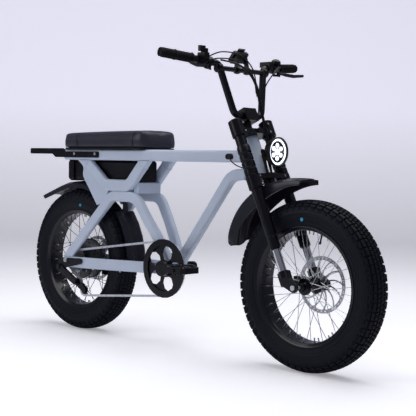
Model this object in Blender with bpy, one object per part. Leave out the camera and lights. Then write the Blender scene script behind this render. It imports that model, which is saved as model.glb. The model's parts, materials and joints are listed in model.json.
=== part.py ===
"""Fat tyre electric bike: long saddle, twin crown suspension fork, rear hub motor and chain drive.

Every number below is in the drawing frame: x ahead of the rear axle, y to the rider's left, z above
the ground, in millimetres. make() turns it into the part frame: metres, with the origin on the ground
under the middle of the wheelbase.
"""

import math

import bmesh
import bpy
from mathutils import Vector
from mathutils.geometry import convex_hull_2d, tessellate_polygon

MM = 0.001

# Fits
FIT_GAP = 0.3
TURN_GAP = 0.4
SLIDE_GAP = 0.8

# Wheels
WHEELBASE = 1210.0
TYRE_RADIUS = 297.0
TYRE_HALF_WIDTH = 49.0
TREAD_HALF_WIDTH = 16.0
WHEEL_SIDES = 28
RIM_FLANGE_RADIUS = 208.0
BEAD_SEAT_RADIUS = 203.0
RIM_INNER_RADIUS = 192.0
RIM_HALF_WIDTH = 40.0
RIM_INNER_HALF_WIDTH = 31.0
SPOKE_COUNT = 36
SPOKE_RADIUS = 1.5
SPOKE_LEAN = math.radians(48)
SPOKE_SPACING = 2.2
SPOKE_END_GAP = 0.9
REAR_AXLE = Vector((0.0, 0.0, TYRE_RADIUS))
FRONT_AXLE = Vector((WHEELBASE, 0.0, TYRE_RADIUS))

# Steering axis and fork
FORK_ANGLE = math.radians(24.6)
STEER_POINT = Vector((947.0, 0.0, 750.0))
STEER_UP = Vector((-math.sin(FORK_ANGLE), 0.0, math.cos(FORK_ANGLE)))
STEER_AHEAD = Vector((math.cos(FORK_ANGLE), 0.0, math.sin(FORK_ANGLE)))
LEG_AHEAD = 21.4
LEG_SIDE = 82.0
AXLE_AHEAD = (FRONT_AXLE - STEER_POINT).dot(STEER_AHEAD)
AXLE_UP = (FRONT_AXLE - STEER_POINT).dot(STEER_UP)
OUTER_TUBE_RADIUS = 20.0
STANCHION_RADIUS = 14.0
OUTER_TUBE_LOW = -370.0
OUTER_TUBE_TOP = 118.0
FOOT_TOP = -455.0
STANCHION_TOP = -250.0
BORE_TOP = -150.0
SLEEVE_RADIUS = 24.0
SLEEVE_GROOVE_RADIUS = 21.0
SLEEVE_RIBS = 4
LOWER_CROWN_LOW, LOWER_CROWN_TOP = -116.0, -98.0
LOWER_CLAMP_LOW, LOWER_CLAMP_TOP = -147.0, -96.5
UPPER_CROWN_LOW, UPPER_CROWN_TOP = 59.0, 77.0
UPPER_CLAMP_LOW, UPPER_CLAMP_TOP = 52.0, 113.0
CLAMP_RADIUS = 25.5
SLEEVE_LOW, SLEEVE_TOP = -94.0, 14.0
STEERER_RADIUS = 14.3
STEERER_TOP = 123.0
HEADSET_LOW = LOWER_CROWN_TOP + FIT_GAP
HEADSET_TOP = UPPER_CROWN_LOW - FIT_GAP
HEAD_TUBE_LOW, HEAD_TUBE_TOP = HEADSET_LOW + 4.7, HEADSET_TOP - 4.7
HEAD_TUBE_RADIUS = 28.0
HEAD_TUBE_BORE = 23.5
FOOT_HALF_THICKNESS = 12.0
FOOT_SOCKET_DEPTH = 16.0
FOOT_HEIGHT = 47.0
DROPOUT_THICKNESS = 9.0
FRONT_AXLE_RADIUS = 6.0
FRONT_AXLE_END = 101.0

# Brakes
DISC_THICKNESS = 2.0
FRONT_DISC_RADIUS = 100.0
FRONT_DISC_SIDE = 65.0
REAR_DISC_RADIUS = 94.0
REAR_DISC_SIDE = 70.0
DISC_BAND = 14.0
DISC_ARMS = 8

# Frame
RAIL_SIDE = 65.0
RAIL_Z = 737.0
RAIL_HEIGHT = 44.0
RAIL_WIDTH = 30.0
RAIL_REAR_X = -48.0
RAIL_BEND_X = 440.0
RAIL_FRONT_X = 935.0
RAIL_FRONT_SIDE = 21.0
RAIL_CROSS_X = (415.0, 690.0)
RAIL_UNDERSIDE = RAIL_Z - RAIL_HEIGHT / 2
TUBE_CORNER = 9.0
DOWN_TUBE_PATH = ((565.0, 0.0, 312.5), (838.0, 0.0, 668.0), (950.0, 0.0, 677.0))
DOWN_TUBE_BEND = 70.0
DOWN_TUBE_HEIGHT, DOWN_TUBE_WIDTH = 42.0, 32.0
CRANK_AXIS = Vector((559.0, 0.0, 306.5))
SHELL_RADIUS = 22.0
SHELL_HALF_WIDTH = 36.5
SPINDLE_RADIUS = 10.0
LOOP_HEIGHT, ARCH_HEIGHT, LOOP_WIDTH = 47.5, 42.0, 28.0
UPPER_LOOP_PATH = ((85.0, 711.9), (207.0, 615.5), (348.0, 615.5), (439.0, 714.0))
UPPER_LOOP_BEND = 50.0
ARCH_PATH = (
    (-2.0, 87.5, 311.7),
    (105.0, 77.8, 424.6),
    (246.0, 65.0, 572.0),
    (390.0, 65.0, 572.0),
    (449.0, 56.0, 485.0),
    (492.0, 44.0, 422.0),
    (555.0, 31.0, 313.5),
)
ARCH_BENDS = (0.0, 0.0, 50.0, 70.0, 0.0, 0.0, 0.0)
ARCH_FOOT_THINNING = 0.5
GUSSET_OUTLINE = (
    (34.0, 714.7),
    (74.0, 684.0),
    (68.0, 665.0),
    (70.0, 648.0),
    (82.0, 632.0),
    (105.0, 604.0),
    (161.0, 532.0),
    (200.0, 545.0),
    (230.0, 590.0),
    (190.0, 625.0),
    (98.0, 714.7),
)
GUSSET_HALF_THICKNESS = 9.0
STAY_REAR_X, STAY_REAR_Z = -24.0, 288.2
STAY_SLOPE = 0.0222
STAY_SIDES = ((-24.0, 88.0), (60.0, 88.0), (250.0, 72.0), (420.0, 48.0), (551.0, 30.0))
STAY_PATH = tuple((x, y, STAY_REAR_Z + STAY_SLOPE * (x - STAY_REAR_X)) for x, y in STAY_SIDES)
STAY_HEIGHT_REAR, STAY_HEIGHT_FRONT = 45.0, 43.0
STAY_THICKNESS = 14.0
STAY_BRIDGE = (352.0, 302.0)
REAR_BRIDGE = (252.0, 573.0)
REAR_BRIDGE_RADIUS = 11.0
FRONT_BRIDGE_LOW, FRONT_BRIDGE_HIGH = (367.0, 586.0), (397.0, 629.5)
KICKSTAND_PIVOT = (40.0, 264.0)
KICKSTAND_SIDE = 110.0
KICKSTAND_FOOT = (-75.0, 160.0)
REAR_AXLE_RADIUS = 6.0
REAR_AXLE_END = 110.0

# Saddle, battery, rack and rear guards
SEAT_REAR_X, SEAT_FRONT_X = -60.0, 470.0
SEAT_HALF_WIDTH = 98.0
SEAT_CORNER = 55.0
SEAT_BASE_LOW = RAIL_Z + RAIL_HEIGHT / 2 + FIT_GAP
SEAT_BASE_TOP = 766.0
SEAT_TOP_REAR, SEAT_TOP_FRONT = 826.0, 833.0
SEAT_END_STEPS = (3.0, 8.0, 18.0, 34.0, 55.0)
SEAT_END_LEAN, SEAT_END_DROP = 13.0, 14.0
SEAT_SEAMS_X = (48.0, 402.0)
SEAT_SEAM_WIDTH, SEAT_SEAM_DEPTH = 6.0, 3.5
SEAT_PLAIN_X = (120.0, 225.0, 330.0)
SEAT_SECTION = [
    (0.955, 0.0),
    (0.99, 0.16),
    (1.0, 0.38),
    (0.985, 0.58),
    (0.955, 0.625),
    (0.975, 0.67),
    (0.935, 0.84),
    (0.84, 0.935),
    (0.62, 0.98),
    (0.32, 0.997),
    (0.0, 1.0),
]
BATTERY_REAR_X, BATTERY_FRONT_X = -65.0, 390.0
BATTERY_HALF_WIDTH = 44.0
BATTERY_LOW, BATTERY_TOP = 630.0, 716.0
BATTERY_CORNER = 12.0
STRAP_REAR_X, STRAP_FRONT_X = -47.0, -19.0
STRAP_THICKNESS = 1.8
TAIL_LIGHT_DEPTH = 12.0
RACK_OUTLINE = (
    (-273.0, 739.0),
    (-122.0, 739.0),
    (-100.0, 725.0),
    (174.0, 725.0),
    (178.0, 729.0),
    (178.0, 746.0),
    (174.0, 750.0),
    (-38.0, 750.0),
    (-50.0, 763.0),
    (-273.0, 763.0),
    (-277.0, 759.0),
    (-277.0, 743.0),
)
RACK_INNER_SIDE = RAIL_SIDE + RAIL_WIDTH / 2 + FIT_GAP
RACK_PLATE = 6.0
RACK_BARS_X = (-266.0, -190.0, -105.0)
REAR_GUARD_RADIUS = 331.0
REAR_GUARD_FROM, REAR_GUARD_TO = 62.0, 131.0
REAR_GUARD_FLARE = 24.0
REAR_GUARD_SECTION = ((-53.5, -29.0), (-53.5, -11.0), (-38.0, -3.0), (-9.0, -2.0), (0.0, 0.0))
MUDGUARD_FROM, MUDGUARD_TO = 0.5, 40.0
MUDGUARD_SECTION = ((-50.0, -5.0), (-40.0, 0.0), (-20.0, 0.0), (-12.0, -4.0), (0.0, -4.0))
GUARD_THICKNESS = 2.5

# Front fender, on the lower crown
FENDER_CROWN = (
    (-1.0, 367.0),
    (-9.0, 373.0),
    (-22.0, 386.0),
    (-36.0, 397.0),
    (-50.0, 399.0),
    (-62.0, 390.0),
    (-72.0, 373.0),
)
FENDER_SKIRT = (18.0, 26.0, 44.0, 58.0, 58.0, 49.0, 34.0)
FENDER_END_ROUNDING = 5.0
FENDER_HALF_WIDTH = 54.0

# Chain drive
CHAIN_SIDE = -68.0
CHAIN_PITCH = 12.7
RING_TEETH = 52
COG_TEETH = (14, 16, 18, 20, 22, 24, 28)
COG_SPACING = 4.8
ENGAGED_COG = 2
JOCKEY_TEETH = 11
UPPER_JOCKEY = (40.0, 205.0)
LOWER_JOCKEY = (85.0, 176.0)
FREEHUB_RADIUS, FREEHUB_END = 16.0, 79.6
TOOTH_THICKNESS = 2.0
TOOTH_ROOT, TOOTH_TIP = -4.3, 3.5
TOOTH_ROOT_WIDTH = 4.6
PLATE_INNER, PLATE_OUTER = 2.1, 3.5
CHAIN_HALF_HEIGHT = 4.0
ROLLER_HALF_LENGTH = 2.7
OPEN_LINKS = 2
CRANK_LENGTH = 170.0
CRANK_ANGLE = math.radians(4.5)
CRANK_HALF_THICKNESS = 7.0
CRANK_SIDE = 86.0
GUARD_RADIUS = 113.0
PEDAL_LENGTH, PEDAL_WIDTH, PEDAL_HEIGHT = 96.0, 90.0, 22.0
PEDAL_AXLE_RADIUS = 6.0
LEFT_PEDAL_TILT = math.radians(72)

# Handlebar
BAR_RADIUS = 12.7
BAR_END = 362.0
BAR_LOW_CENTRE = Vector((909.0, 0.0, 883.0))
BAR_PATH = ((909.0, 0.0, 883.0), (909.0, 72.0, 883.0), (872.0, 121.0, 1064.0), (824.0, 360.0, 1086.0))
BAR_BEND = 26.0
CROSSBAR = (875.0, 116.0, 1048.0)
CROSSBAR_RADIUS = 9.0
SHIFT_X, SHIFT_SIDE, SHIFT_Z = 872.0, -193.0, 1100.0
THROTTLE_FROM, THROTTLE_TO = 233.0, 300.0
GRIP_RADIUS = 16.5
GRIP_SIDES = 9
BRACKET_THICKNESS = 4.0
LAMP_PIVOT = (992.0, 0.0, 757.0)
LAMP_KNUCKLE = 9.0
CONTROL_CABLE_DIAMETER = 12.0
CORD_POINT_SPACING = 2.5

# Finishes: base colour, roughness and metallic of each
FINISHES = {
    "frame_paint": ((0.376, 0.418, 0.527), 0.40, 0.0),
    "black_alloy": ((0.004, 0.0042, 0.0075), 0.26, 0.0),
    "hub_alloy": ((0.035, 0.036, 0.042), 0.36, 0.3),
    "stanchion_steel": ((0.70, 0.71, 0.76), 0.12, 1.0),
    "bare_steel": ((0.60, 0.61, 0.65), 0.30, 0.9),
    "chain_steel": ((0.66, 0.68, 0.74), 0.36, 0.8),
    "tyre_rubber": ((0.0035, 0.0045, 0.010), 0.50, 0.0),
    "grip_rubber": ((0.005, 0.005, 0.007), 0.60, 0.0),
    "saddle_leather": ((0.0055, 0.0055, 0.0095), 0.34, 0.0),
    "guard_plastic": ((0.005, 0.005, 0.008), 0.24, 0.0),
    "black_plastic": ((0.005, 0.005, 0.007), 0.32, 0.0),
    "lamp_lens": ((0.80, 0.84, 0.92), 0.08, 0.0),
    "tail_lens": ((0.34, 0.010, 0.008), 0.16, 0.0),
    "cable_rubber": ((0.005, 0.005, 0.007), 0.36, 0.0),
}
SHARP_ANGLE = math.radians(34)

# What each sub-part moves with, and its finish
PARTS = (
    ("frame", "frame_paint", ("front_frame", "side_frames", "rear_stays")),
    ("frame", "black_alloy", (
        "seat_base", "battery_case", "rear_rack", "derailleur", "derailleur_cage", "rear_caliper",
    )),
    ("frame", "saddle_leather", ("seat_cushion",)),
    ("frame", "tail_lens", ("tail_light",)),
    ("frame", "guard_plastic", ("rear_fender", "rear_mudguard")),
    ("frame", "chain_steel", ("chain",)),
    ("frame", "bare_steel", ("rear_axle",)),
    ("steering", "black_alloy", (
        "upper_crown", "lower_crown", "fork_tube_right", "fork_tube_left", "stem", "handlebar",
        "brake_mount_left", "brake_mount_right", "headlight_bracket",
    )),
    ("steering", "grip_rubber", ("grip_left", "grip_right")),
    ("steering", "black_plastic", ("display", "shifter_body", "mode_switch")),
    ("steering", "guard_plastic", ("front_fender",)),
    ("steering", "cable_rubber", ("control_cables",)),
    ("fork_lowers", "stanchion_steel", ("stanchion_right", "stanchion_left")),
    ("fork_lowers", "black_alloy", ("fork_foot_right", "fork_foot_left", "front_caliper")),
    ("fork_lowers", "bare_steel", ("front_axle",)),
    ("front_wheel", "tyre_rubber", ("front_tyre",)),
    ("front_wheel", "black_alloy", ("front_rim",)),
    ("front_wheel", "hub_alloy", ("front_hub",)),
    ("front_wheel", "bare_steel", ("front_disc",)),
    ("rear_wheel", "tyre_rubber", ("rear_tyre",)),
    ("rear_wheel", "black_alloy", ("rear_rim",)),
    ("rear_wheel", "hub_alloy", ("rear_hub_motor",)),
    ("rear_wheel", "bare_steel", ("rear_disc",)),
    ("crankset", "black_alloy", ("chainring", "crank_right", "crank_left")),
    ("cassette", "bare_steel", ("cassette",)),
    ("jockey_lower", "black_plastic", ("jockey_lower",)),
    ("jockey_upper", "black_plastic", ("jockey_upper",)),
    ("pedal_right", "black_plastic", ("pedal_right",)),
    ("pedal_left", "black_plastic", ("pedal_left",)),
    ("brake_lever_right", "black_alloy", ("brake_lever_right",)),
    ("brake_lever_left", "black_alloy", ("brake_lever_left",)),
    ("throttle", "grip_rubber", ("throttle_grip",)),
    ("shift_lever", "black_plastic", ("shifter_lever",)),
    ("headlight", "black_plastic", ("headlight_shell",)),
    ("headlight", "lamp_lens", ("headlight_lens",)),
    ("kickstand", "black_alloy", ("kickstand",)),
)


# Directions and places
def side_view(x, z, y):
    return Vector((x, y, z))


def plan_view(x, y, z):
    return Vector((x, y, z))


def rear_view(y, z, x):
    return Vector((x, y, z))


def steering(ahead, left, up):
    """A place measured from the steering axis: ahead of it, to the left, and up along it."""
    return STEER_POINT + STEER_AHEAD * ahead + STEER_UP * up + Vector((0.0, left, 0.0))


def along_bar(left, ahead=0.0, up=0.0):
    """A place on the straight outer run of the handlebar, by its distance from the centre plane."""
    inner, outer = Vector(BAR_PATH[2]), Vector(BAR_PATH[3])
    share = (abs(left) - inner.y) / (outer.y - inner.y)
    place = inner.lerp(outer, share)
    return Vector((place.x + ahead, left, place.z + up))


def bar_direction(side):
    run = Vector(BAR_PATH[3]) - Vector(BAR_PATH[2])
    return Vector((run.x, run.y * side, run.z)).normalized()


# Shapes: a list of points and a list of faces
def skin(rows, closed=False):
    """Joins rows of equally many points, and caps the first and last unless the rows go full circle."""
    count = len(rows[0])
    points = [point for row in rows for point in row]
    faces = []
    for start in range(len(rows) - (0 if closed else 1)):
        low = start * count
        high = (start + 1) % len(rows) * count
        for k in range(count):
            after = (k + 1) % count
            faces.append((low + k, low + after, high + after, high + k))
    if not closed:
        faces.append(tuple(range(count)))
        faces.append(tuple(range(len(points) - count, len(points))))
    return points, faces


def turned(profile, base, axis, sides=12, closed=False, hug=False):
    """Turns (along, radius) pairs about an axis. With hug, the flats lie on the radius, not the corners."""
    axis = Vector(axis).normalized()
    across = axis.cross(Vector((0.0, 0.0, 1.0)))
    across = across.normalized() if across.length > 0.1 else Vector((1.0, 0.0, 0.0))
    other = axis.cross(across)
    grow = 1 / math.cos(math.pi / sides) if hug else 1.0
    rows = []
    for along, radius in profile:
        row = []
        for k in range(sides):
            angle = math.tau * (k + 0.5) / sides
            spoke = across * math.cos(angle) + other * math.sin(angle)
            row.append(Vector(base) + axis * along + spoke * radius * grow)
        rows.append(row)
    return skin(rows, closed)


def rod(start, end, radius, sides=10, hug=False):
    start, end = Vector(start), Vector(end)
    return turned(((0.0, radius), ((end - start).length, radius)), start, end - start, sides, hug=hug)


def slab(outline, low, high, view, holes=()):
    """A plate with the outline and holes of a drawing view, from depth low to depth high."""
    loops = [outline, *holes]
    flat = [[Vector((u, v, 0.0)) for u, v in loop] for loop in loops]
    count = sum(len(loop) for loop in loops)
    points = [view(u, v, depth) for depth in (low, high) for loop in loops for u, v in loop]
    triangles = tessellate_polygon(flat)
    faces = [tuple(t) for t in triangles]
    faces += [tuple(k + count for k in reversed(t)) for t in triangles]
    start = 0
    for loop in loops:
        for k in range(len(loop)):
            a, b = start + k, start + (k + 1) % len(loop)
            faces.append((a, b, b + count, a + count))
        start += len(loop)
    return points, faces


def block(low, high):
    outline = [(low[0], low[1]), (high[0], low[1]), (high[0], high[1]), (low[0], high[1])]
    return slab(outline, low[2], high[2], plan_view)


def steering_block(low, high):
    """A block whose limits are ahead, left and up of the steering axis."""
    rows = []
    for up in (low[2], high[2]):
        corners = ((low[0], low[1]), (high[0], low[1]), (high[0], high[1]), (low[0], high[1]))
        rows.append([steering(ahead, left, up) for ahead, left in corners])
    return skin(rows)


def circle(radius, sides, centre=(0.0, 0.0), phase=0.5, hug=False):
    grow = 1 / math.cos(math.pi / sides) if hug else 1.0
    angles = [math.tau * (k + phase) / sides for k in range(sides)]
    return [
        (centre[0] + radius * grow * math.cos(a), centre[1] + radius * grow * math.sin(a))
        for a in angles
    ]


def rounded_rectangle(width, height, corner, steps=1, centre=(0.0, 0.0)):
    points = []
    for quarter, (sx, sy) in enumerate(((1, 1), (-1, 1), (-1, -1), (1, -1))):
        for k in range(steps + 1):
            angle = math.radians(90) * (quarter + k / steps)
            u = sx * (width / 2 - corner) + corner * math.cos(angle)
            v = sy * (height / 2 - corner) + corner * math.sin(angle)
            points.append((centre[0] + u, centre[1] + v))
    return points


def hull(points):
    flat = [Vector(p) for p in points]
    return [tuple(flat[k]) for k in convex_hull_2d(flat)]


def bent(path, radii, steps=4):
    """Rounds the corners of a path of 3-D points, each with its own radius."""
    points = [Vector(p) for p in path]
    result = [points[0]]
    for k in range(1, len(points) - 1):
        radius = radii[k] if isinstance(radii, (tuple, list)) else radii
        before = (points[k - 1] - points[k]).normalized()
        after = (points[k + 1] - points[k]).normalized()
        half = before.angle(after) / 2
        if radius <= 0 or half > math.radians(89.5):
            result.append(points[k])
            continue
        reach = radius / math.tan(half)
        centre = points[k] + (before + after).normalized() * radius / math.sin(half)
        first = (points[k] + before * reach - centre).normalized()
        last = (points[k] + after * reach - centre).normalized()
        for step in range(steps + 1):
            result.append(centre + first.slerp(last, step / steps) * radius)
    result.append(points[-1])
    return result


def swept(path, section, across, sizes=None, end_planes=(None, None)):
    """Carries a flat section along a path. Its first direction stays near the vector named across.

    sizes scales the section at each point of the path, and an end plane (point, normal) trims an end.
    """
    path = [Vector(p) for p in path]
    lines = [(b - a).normalized() for a, b in zip(path, path[1:])]
    rows = []
    for k, place in enumerate(path):
        into = lines[max(k - 1, 0)]
        out = lines[min(k, len(lines) - 1)]
        along = (into + out).normalized()
        u = (Vector(across) - along * Vector(across).dot(along)).normalized()
        v = along.cross(u)
        bend = out - into
        stretch = 1 / max(into.dot(along), 0.5) - 1
        fold = bend.normalized() if bend.length > 1e-6 else Vector()
        scale_u, scale_v = sizes[k] if sizes else (1.0, 1.0)
        row = []
        for a, b in section:
            offset = u * a * scale_u + v * b * scale_v
            row.append(place + offset + fold * offset.dot(fold) * stretch)
        rows.append(row)
    for row, line, plane in ((rows[0], lines[0], end_planes[0]), (rows[-1], lines[-1], end_planes[1])):
        if plane:
            point, normal = Vector(plane[0]), Vector(plane[1])
            for k, corner in enumerate(row):
                row[k] = corner + line * (point - corner).dot(normal) / line.dot(normal)
    return skin(rows)


def tube(path, radius, sides=8, across=(0.0, 1.0, 0.0)):
    return swept(path, circle(radius, sides), across)


def mirrored(shape):
    points, faces = shape
    return [Vector((p.x, -p.y, p.z)) for p in points], faces


def together(shapes):
    """One list of separate shells, used as a single cutter or addition."""
    points, faces = [], []
    for more_points, more_faces in shapes:
        faces += [tuple(k + len(points) for k in face) for face in more_faces]
        points += more_points
    return points, faces


# Scene objects
def make_pivots():
    """An empty for each moving body, on its joint's axis and hung on the body that carries it."""
    pivots = (
        ("frame", None, (WHEELBASE / 2, 0.0, 0.0)),
        ("steering", "frame", STEER_POINT),
        ("fork_lowers", "steering", FRONT_AXLE),
        ("front_wheel", "fork_lowers", FRONT_AXLE),
        ("rear_wheel", "frame", REAR_AXLE),
        ("crankset", "frame", CRANK_AXIS),
        ("cassette", "frame", (REAR_AXLE.x, CHAIN_SIDE, REAR_AXLE.z)),
        ("jockey_upper", "frame", (UPPER_JOCKEY[0], CHAIN_SIDE, UPPER_JOCKEY[1])),
        ("jockey_lower", "frame", (LOWER_JOCKEY[0], CHAIN_SIDE, LOWER_JOCKEY[1])),
        ("pedal_right", "crankset", crank_end(1)),
        ("pedal_left", "crankset", crank_end(-1)),
        ("brake_lever_right", "steering", lever_pivot(-1)),
        ("brake_lever_left", "steering", lever_pivot(1)),
        ("throttle", "steering", along_bar(-(THROTTLE_FROM + THROTTLE_TO) / 2)),
        ("shift_lever", "steering", (SHIFT_X, SHIFT_SIDE, SHIFT_Z)),
        ("headlight", "steering", LAMP_PIVOT),
        ("kickstand", "frame", (KICKSTAND_PIVOT[0], KICKSTAND_SIDE, KICKSTAND_PIVOT[1])),
    )
    for name, carrier, place in pivots:
        pivot = bpy.data.objects.new(f"{name}_pivot", None)
        bpy.context.scene.collection.objects.link(pivot)
        pivot.location = part_place(place)
        if carrier:
            hang(pivot, carrier)


def part_place(place):
    """A place of the drawing in the part's frame, in metres."""
    x, y, z = place
    return Vector(((x - WHEELBASE / 2) * MM, y * MM, z * MM))


def hang(thing, body):
    """Parents a thing to a body's empty and leaves it where it is."""
    pivot = bpy.data.objects[f"{body}_pivot"]
    bpy.context.view_layer.update()
    thing.parent = pivot
    thing.matrix_parent_inverse = pivot.matrix_world.inverted()


def material(name, finish):
    colour, roughness, metallic = FINISHES[finish]
    made = bpy.data.materials.new(f"{name} {finish}")
    made.use_nodes = True
    shader = made.node_tree.nodes["Principled BSDF"]
    shader.inputs["Base Color"].default_value = (*colour, 1.0)
    shader.inputs["Roughness"].default_value = roughness
    shader.inputs["Metallic"].default_value = metallic
    return made


def body_and_finish(name):
    for body, finish, names in PARTS:
        if name in names:
            return body, finish
    raise KeyError(name)


def mesh_object(name, shape):
    points, faces = shape
    mesh = bpy.data.meshes.new(name)
    mesh.from_pydata([part_place(p) for p in points], [], faces)
    shell = bmesh.new()
    shell.from_mesh(mesh)
    bmesh.ops.recalc_face_normals(shell, faces=shell.faces)
    shell.to_mesh(mesh)
    shell.free()
    mesh.shade_smooth()
    mesh.set_sharp_from_angle(angle=SHARP_ANGLE)
    thing = bpy.data.objects.new(name, mesh)
    bpy.context.scene.collection.objects.link(thing)
    return thing


def make(name, shape, add=(), cut=()):
    """One node: a shape, with others grown onto it and others cut from it."""
    body, finish = body_and_finish(name)
    thing = mesh_object(name, shape)
    thing.data.materials.append(material(name, finish))
    hang(thing, body)
    for operation, tools in (("UNION", add), ("DIFFERENCE", cut)):
        for k, tool in enumerate(tools):
            helper = mesh_object(f"{name}_{operation.lower()}_{k}", tool)
            helper.hide_render = True
            helper.display_type = "WIRE"
            hang(helper, body)
            step = thing.modifiers.new(f"{operation.lower()}_{k}", "BOOLEAN")
            step.operation = operation
            step.object = helper
            step.solver = "EXACT"
    return thing


# Wheels
def make_tyre(name, axle):
    half, tread = TYRE_HALF_WIDTH, TREAD_HALF_WIDTH
    seat = BEAD_SEAT_RADIUS + FIT_GAP
    outer = (
        (36.0, seat),
        (37.0, RIM_FLANGE_RADIUS + 1.5),
        (half, TYRE_RADIUS - 50.0),
        (half - 4.0, TYRE_RADIUS - 24.0),
        (half - 14.0, TYRE_RADIUS - 7.5),
        (tread, TYRE_RADIUS),
    )
    inner = ((31.0, seat), (half - 10.0, TYRE_RADIUS - 29.0))
    left = list(outer)
    right = [(-y, r) for y, r in reversed(outer)]
    hollow = [(-y, r) for y, r in inner] + list(reversed(inner))
    make(name, turned(left + right + hollow, axle, (0, 1, 0), WHEEL_SIDES, closed=True, hug=True))


def make_rim(name, axle):
    half = (
        (RIM_HALF_WIDTH, RIM_FLANGE_RADIUS),
        (RIM_HALF_WIDTH - 3.4, BEAD_SEAT_RADIUS),
        (RIM_INNER_HALF_WIDTH, RIM_INNER_RADIUS),
    )
    outline = [half[0], half[1], (-half[1][0], half[1][1]), (-half[0][0], half[0][1])]
    outline += [(-half[2][0], half[2][1]), half[2]]
    make(name, turned(outline, axle, (0, 1, 0), WHEEL_SIDES, closed=True, hug=True))


def spokes(axle, flange_radius, flange_sides):
    """Spokes leaning both ways from each flange, those of one lean outside those of the other."""
    shells = []
    for k in range(SPOKE_COUNT):
        flange = flange_sides[k % 2]
        lean = 1 if k // 2 % 2 else -1
        at_rim = math.tau * (k + 0.5) / SPOKE_COUNT
        at_hub = at_rim + lean * SPOKE_LEAN
        shift = SPOKE_SPACING * lean
        toward_rim = 9.0 if k % 2 else -9.0
        places = []
        for angle, radius, y in (
            (at_hub, flange_radius - 4.0, flange + shift),
            (at_rim, RIM_INNER_RADIUS - SPOKE_END_GAP, toward_rim + shift),
        ):
            places.append(axle + Vector((radius * math.cos(angle), y, radius * math.sin(angle))))
        shells.append(rod(places[0], places[1], SPOKE_RADIUS, 3))
    return together(shells)


def make_front_hub():
    bore = FRONT_AXLE_RADIUS + TURN_GAP
    profile = (
        (-58.0, 12.0),
        (-36.0, 14.0),
        (-36.0, 29.0),
        (-28.0, 29.0),
        (-26.0, 16.0),
        (24.0, 16.0),
        (26.0, 29.0),
        (34.0, 29.0),
        (34.0, 22.0),
        (FRONT_DISC_SIDE - DISC_THICKNESS / 2 - FIT_GAP, 22.0),
    )
    hub = turned(profile, FRONT_AXLE, (0, 1, 0), 12)
    hole = rod(FRONT_AXLE - Vector((0, 70, 0)), FRONT_AXLE + Vector((0, 70, 0)), bore, 10, hug=True)
    make("front_hub", hub, add=[spokes(FRONT_AXLE, 29.0, (-32.0, 30.0))], cut=[hole])


def make_rear_hub():
    bore = REAR_AXLE_RADIUS + TURN_GAP
    profile = (
        (-FREEHUB_END, FREEHUB_RADIUS),
        (-42.0, FREEHUB_RADIUS),
        (-28.0, 30.0),
        (-28.0, 72.0),
        (-24.0, 84.0),
        (-16.0, 84.0),
        (-16.0, 77.5),
        (28.0, 77.5),
        (28.0, 84.0),
        (36.0, 84.0),
        (45.0, 72.0),
        (46.0, 28.0),
        (REAR_DISC_SIDE - DISC_THICKNESS / 2 - FIT_GAP, 26.0),
    )
    hub = turned(profile, REAR_AXLE, (0, 1, 0), 18)
    hole = rod(REAR_AXLE - Vector((0, 90, 0)), REAR_AXLE + Vector((0, 90, 0)), bore, 10, hug=True)
    make("rear_hub_motor", hub, add=[spokes(REAR_AXLE, 84.0, (-20.0, 32.0))], cut=[hole])


def make_disc(name, axle, y, radius, bore):
    inner = radius - DISC_BAND
    windows = []
    step = math.tau / DISC_ARMS
    for k in range(DISC_ARMS):
        start = step * k
        outer = [(inner, start + step * share) for share in (0.1, 0.5, 0.9)]
        hub = [(30.0, start - 0.55 + step * share) for share in (0.82, 0.20)]
        arm = [(60.0, start - 0.20 + step * 0.14)]
        back = [(60.0, start - 0.20 + step * 0.90)]
        loop = outer + back + hub + arm
        windows.append([(axle.x + r * math.cos(a), axle.z + r * math.sin(a)) for r, a in loop])
    centre = (axle.x, axle.z)
    holes = [circle(bore, 12, centre, hug=True), *windows]
    half = DISC_THICKNESS / 2
    make(name, slab(circle(radius, WHEEL_SIDES, centre), y - half, y + half, side_view, holes))


# Chain drive
def pitch_radius(teeth):
    return CHAIN_PITCH / (2 * math.sin(math.pi / teeth))


def toothed(teeth, phase, centre, sharp=False):
    """Outline of a sprocket, with one tooth at the angle phase."""
    radius = pitch_radius(teeth)
    root, tip = radius + TOOTH_ROOT, radius + TOOTH_TIP
    points = []
    for k in range(teeth):
        middle = phase + math.tau * k / teeth
        half_root = TOOTH_ROOT_WIDTH / 2 / root
        if sharp:
            corners = ((root, middle - math.pi / teeth), (tip, middle))
        else:
            corners = ((root, middle - half_root), (tip, middle), (root, middle + half_root))
        points += [(centre[0] + r * math.cos(a), centre[1] + r * math.sin(a)) for r, a in corners]
    return points


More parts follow.
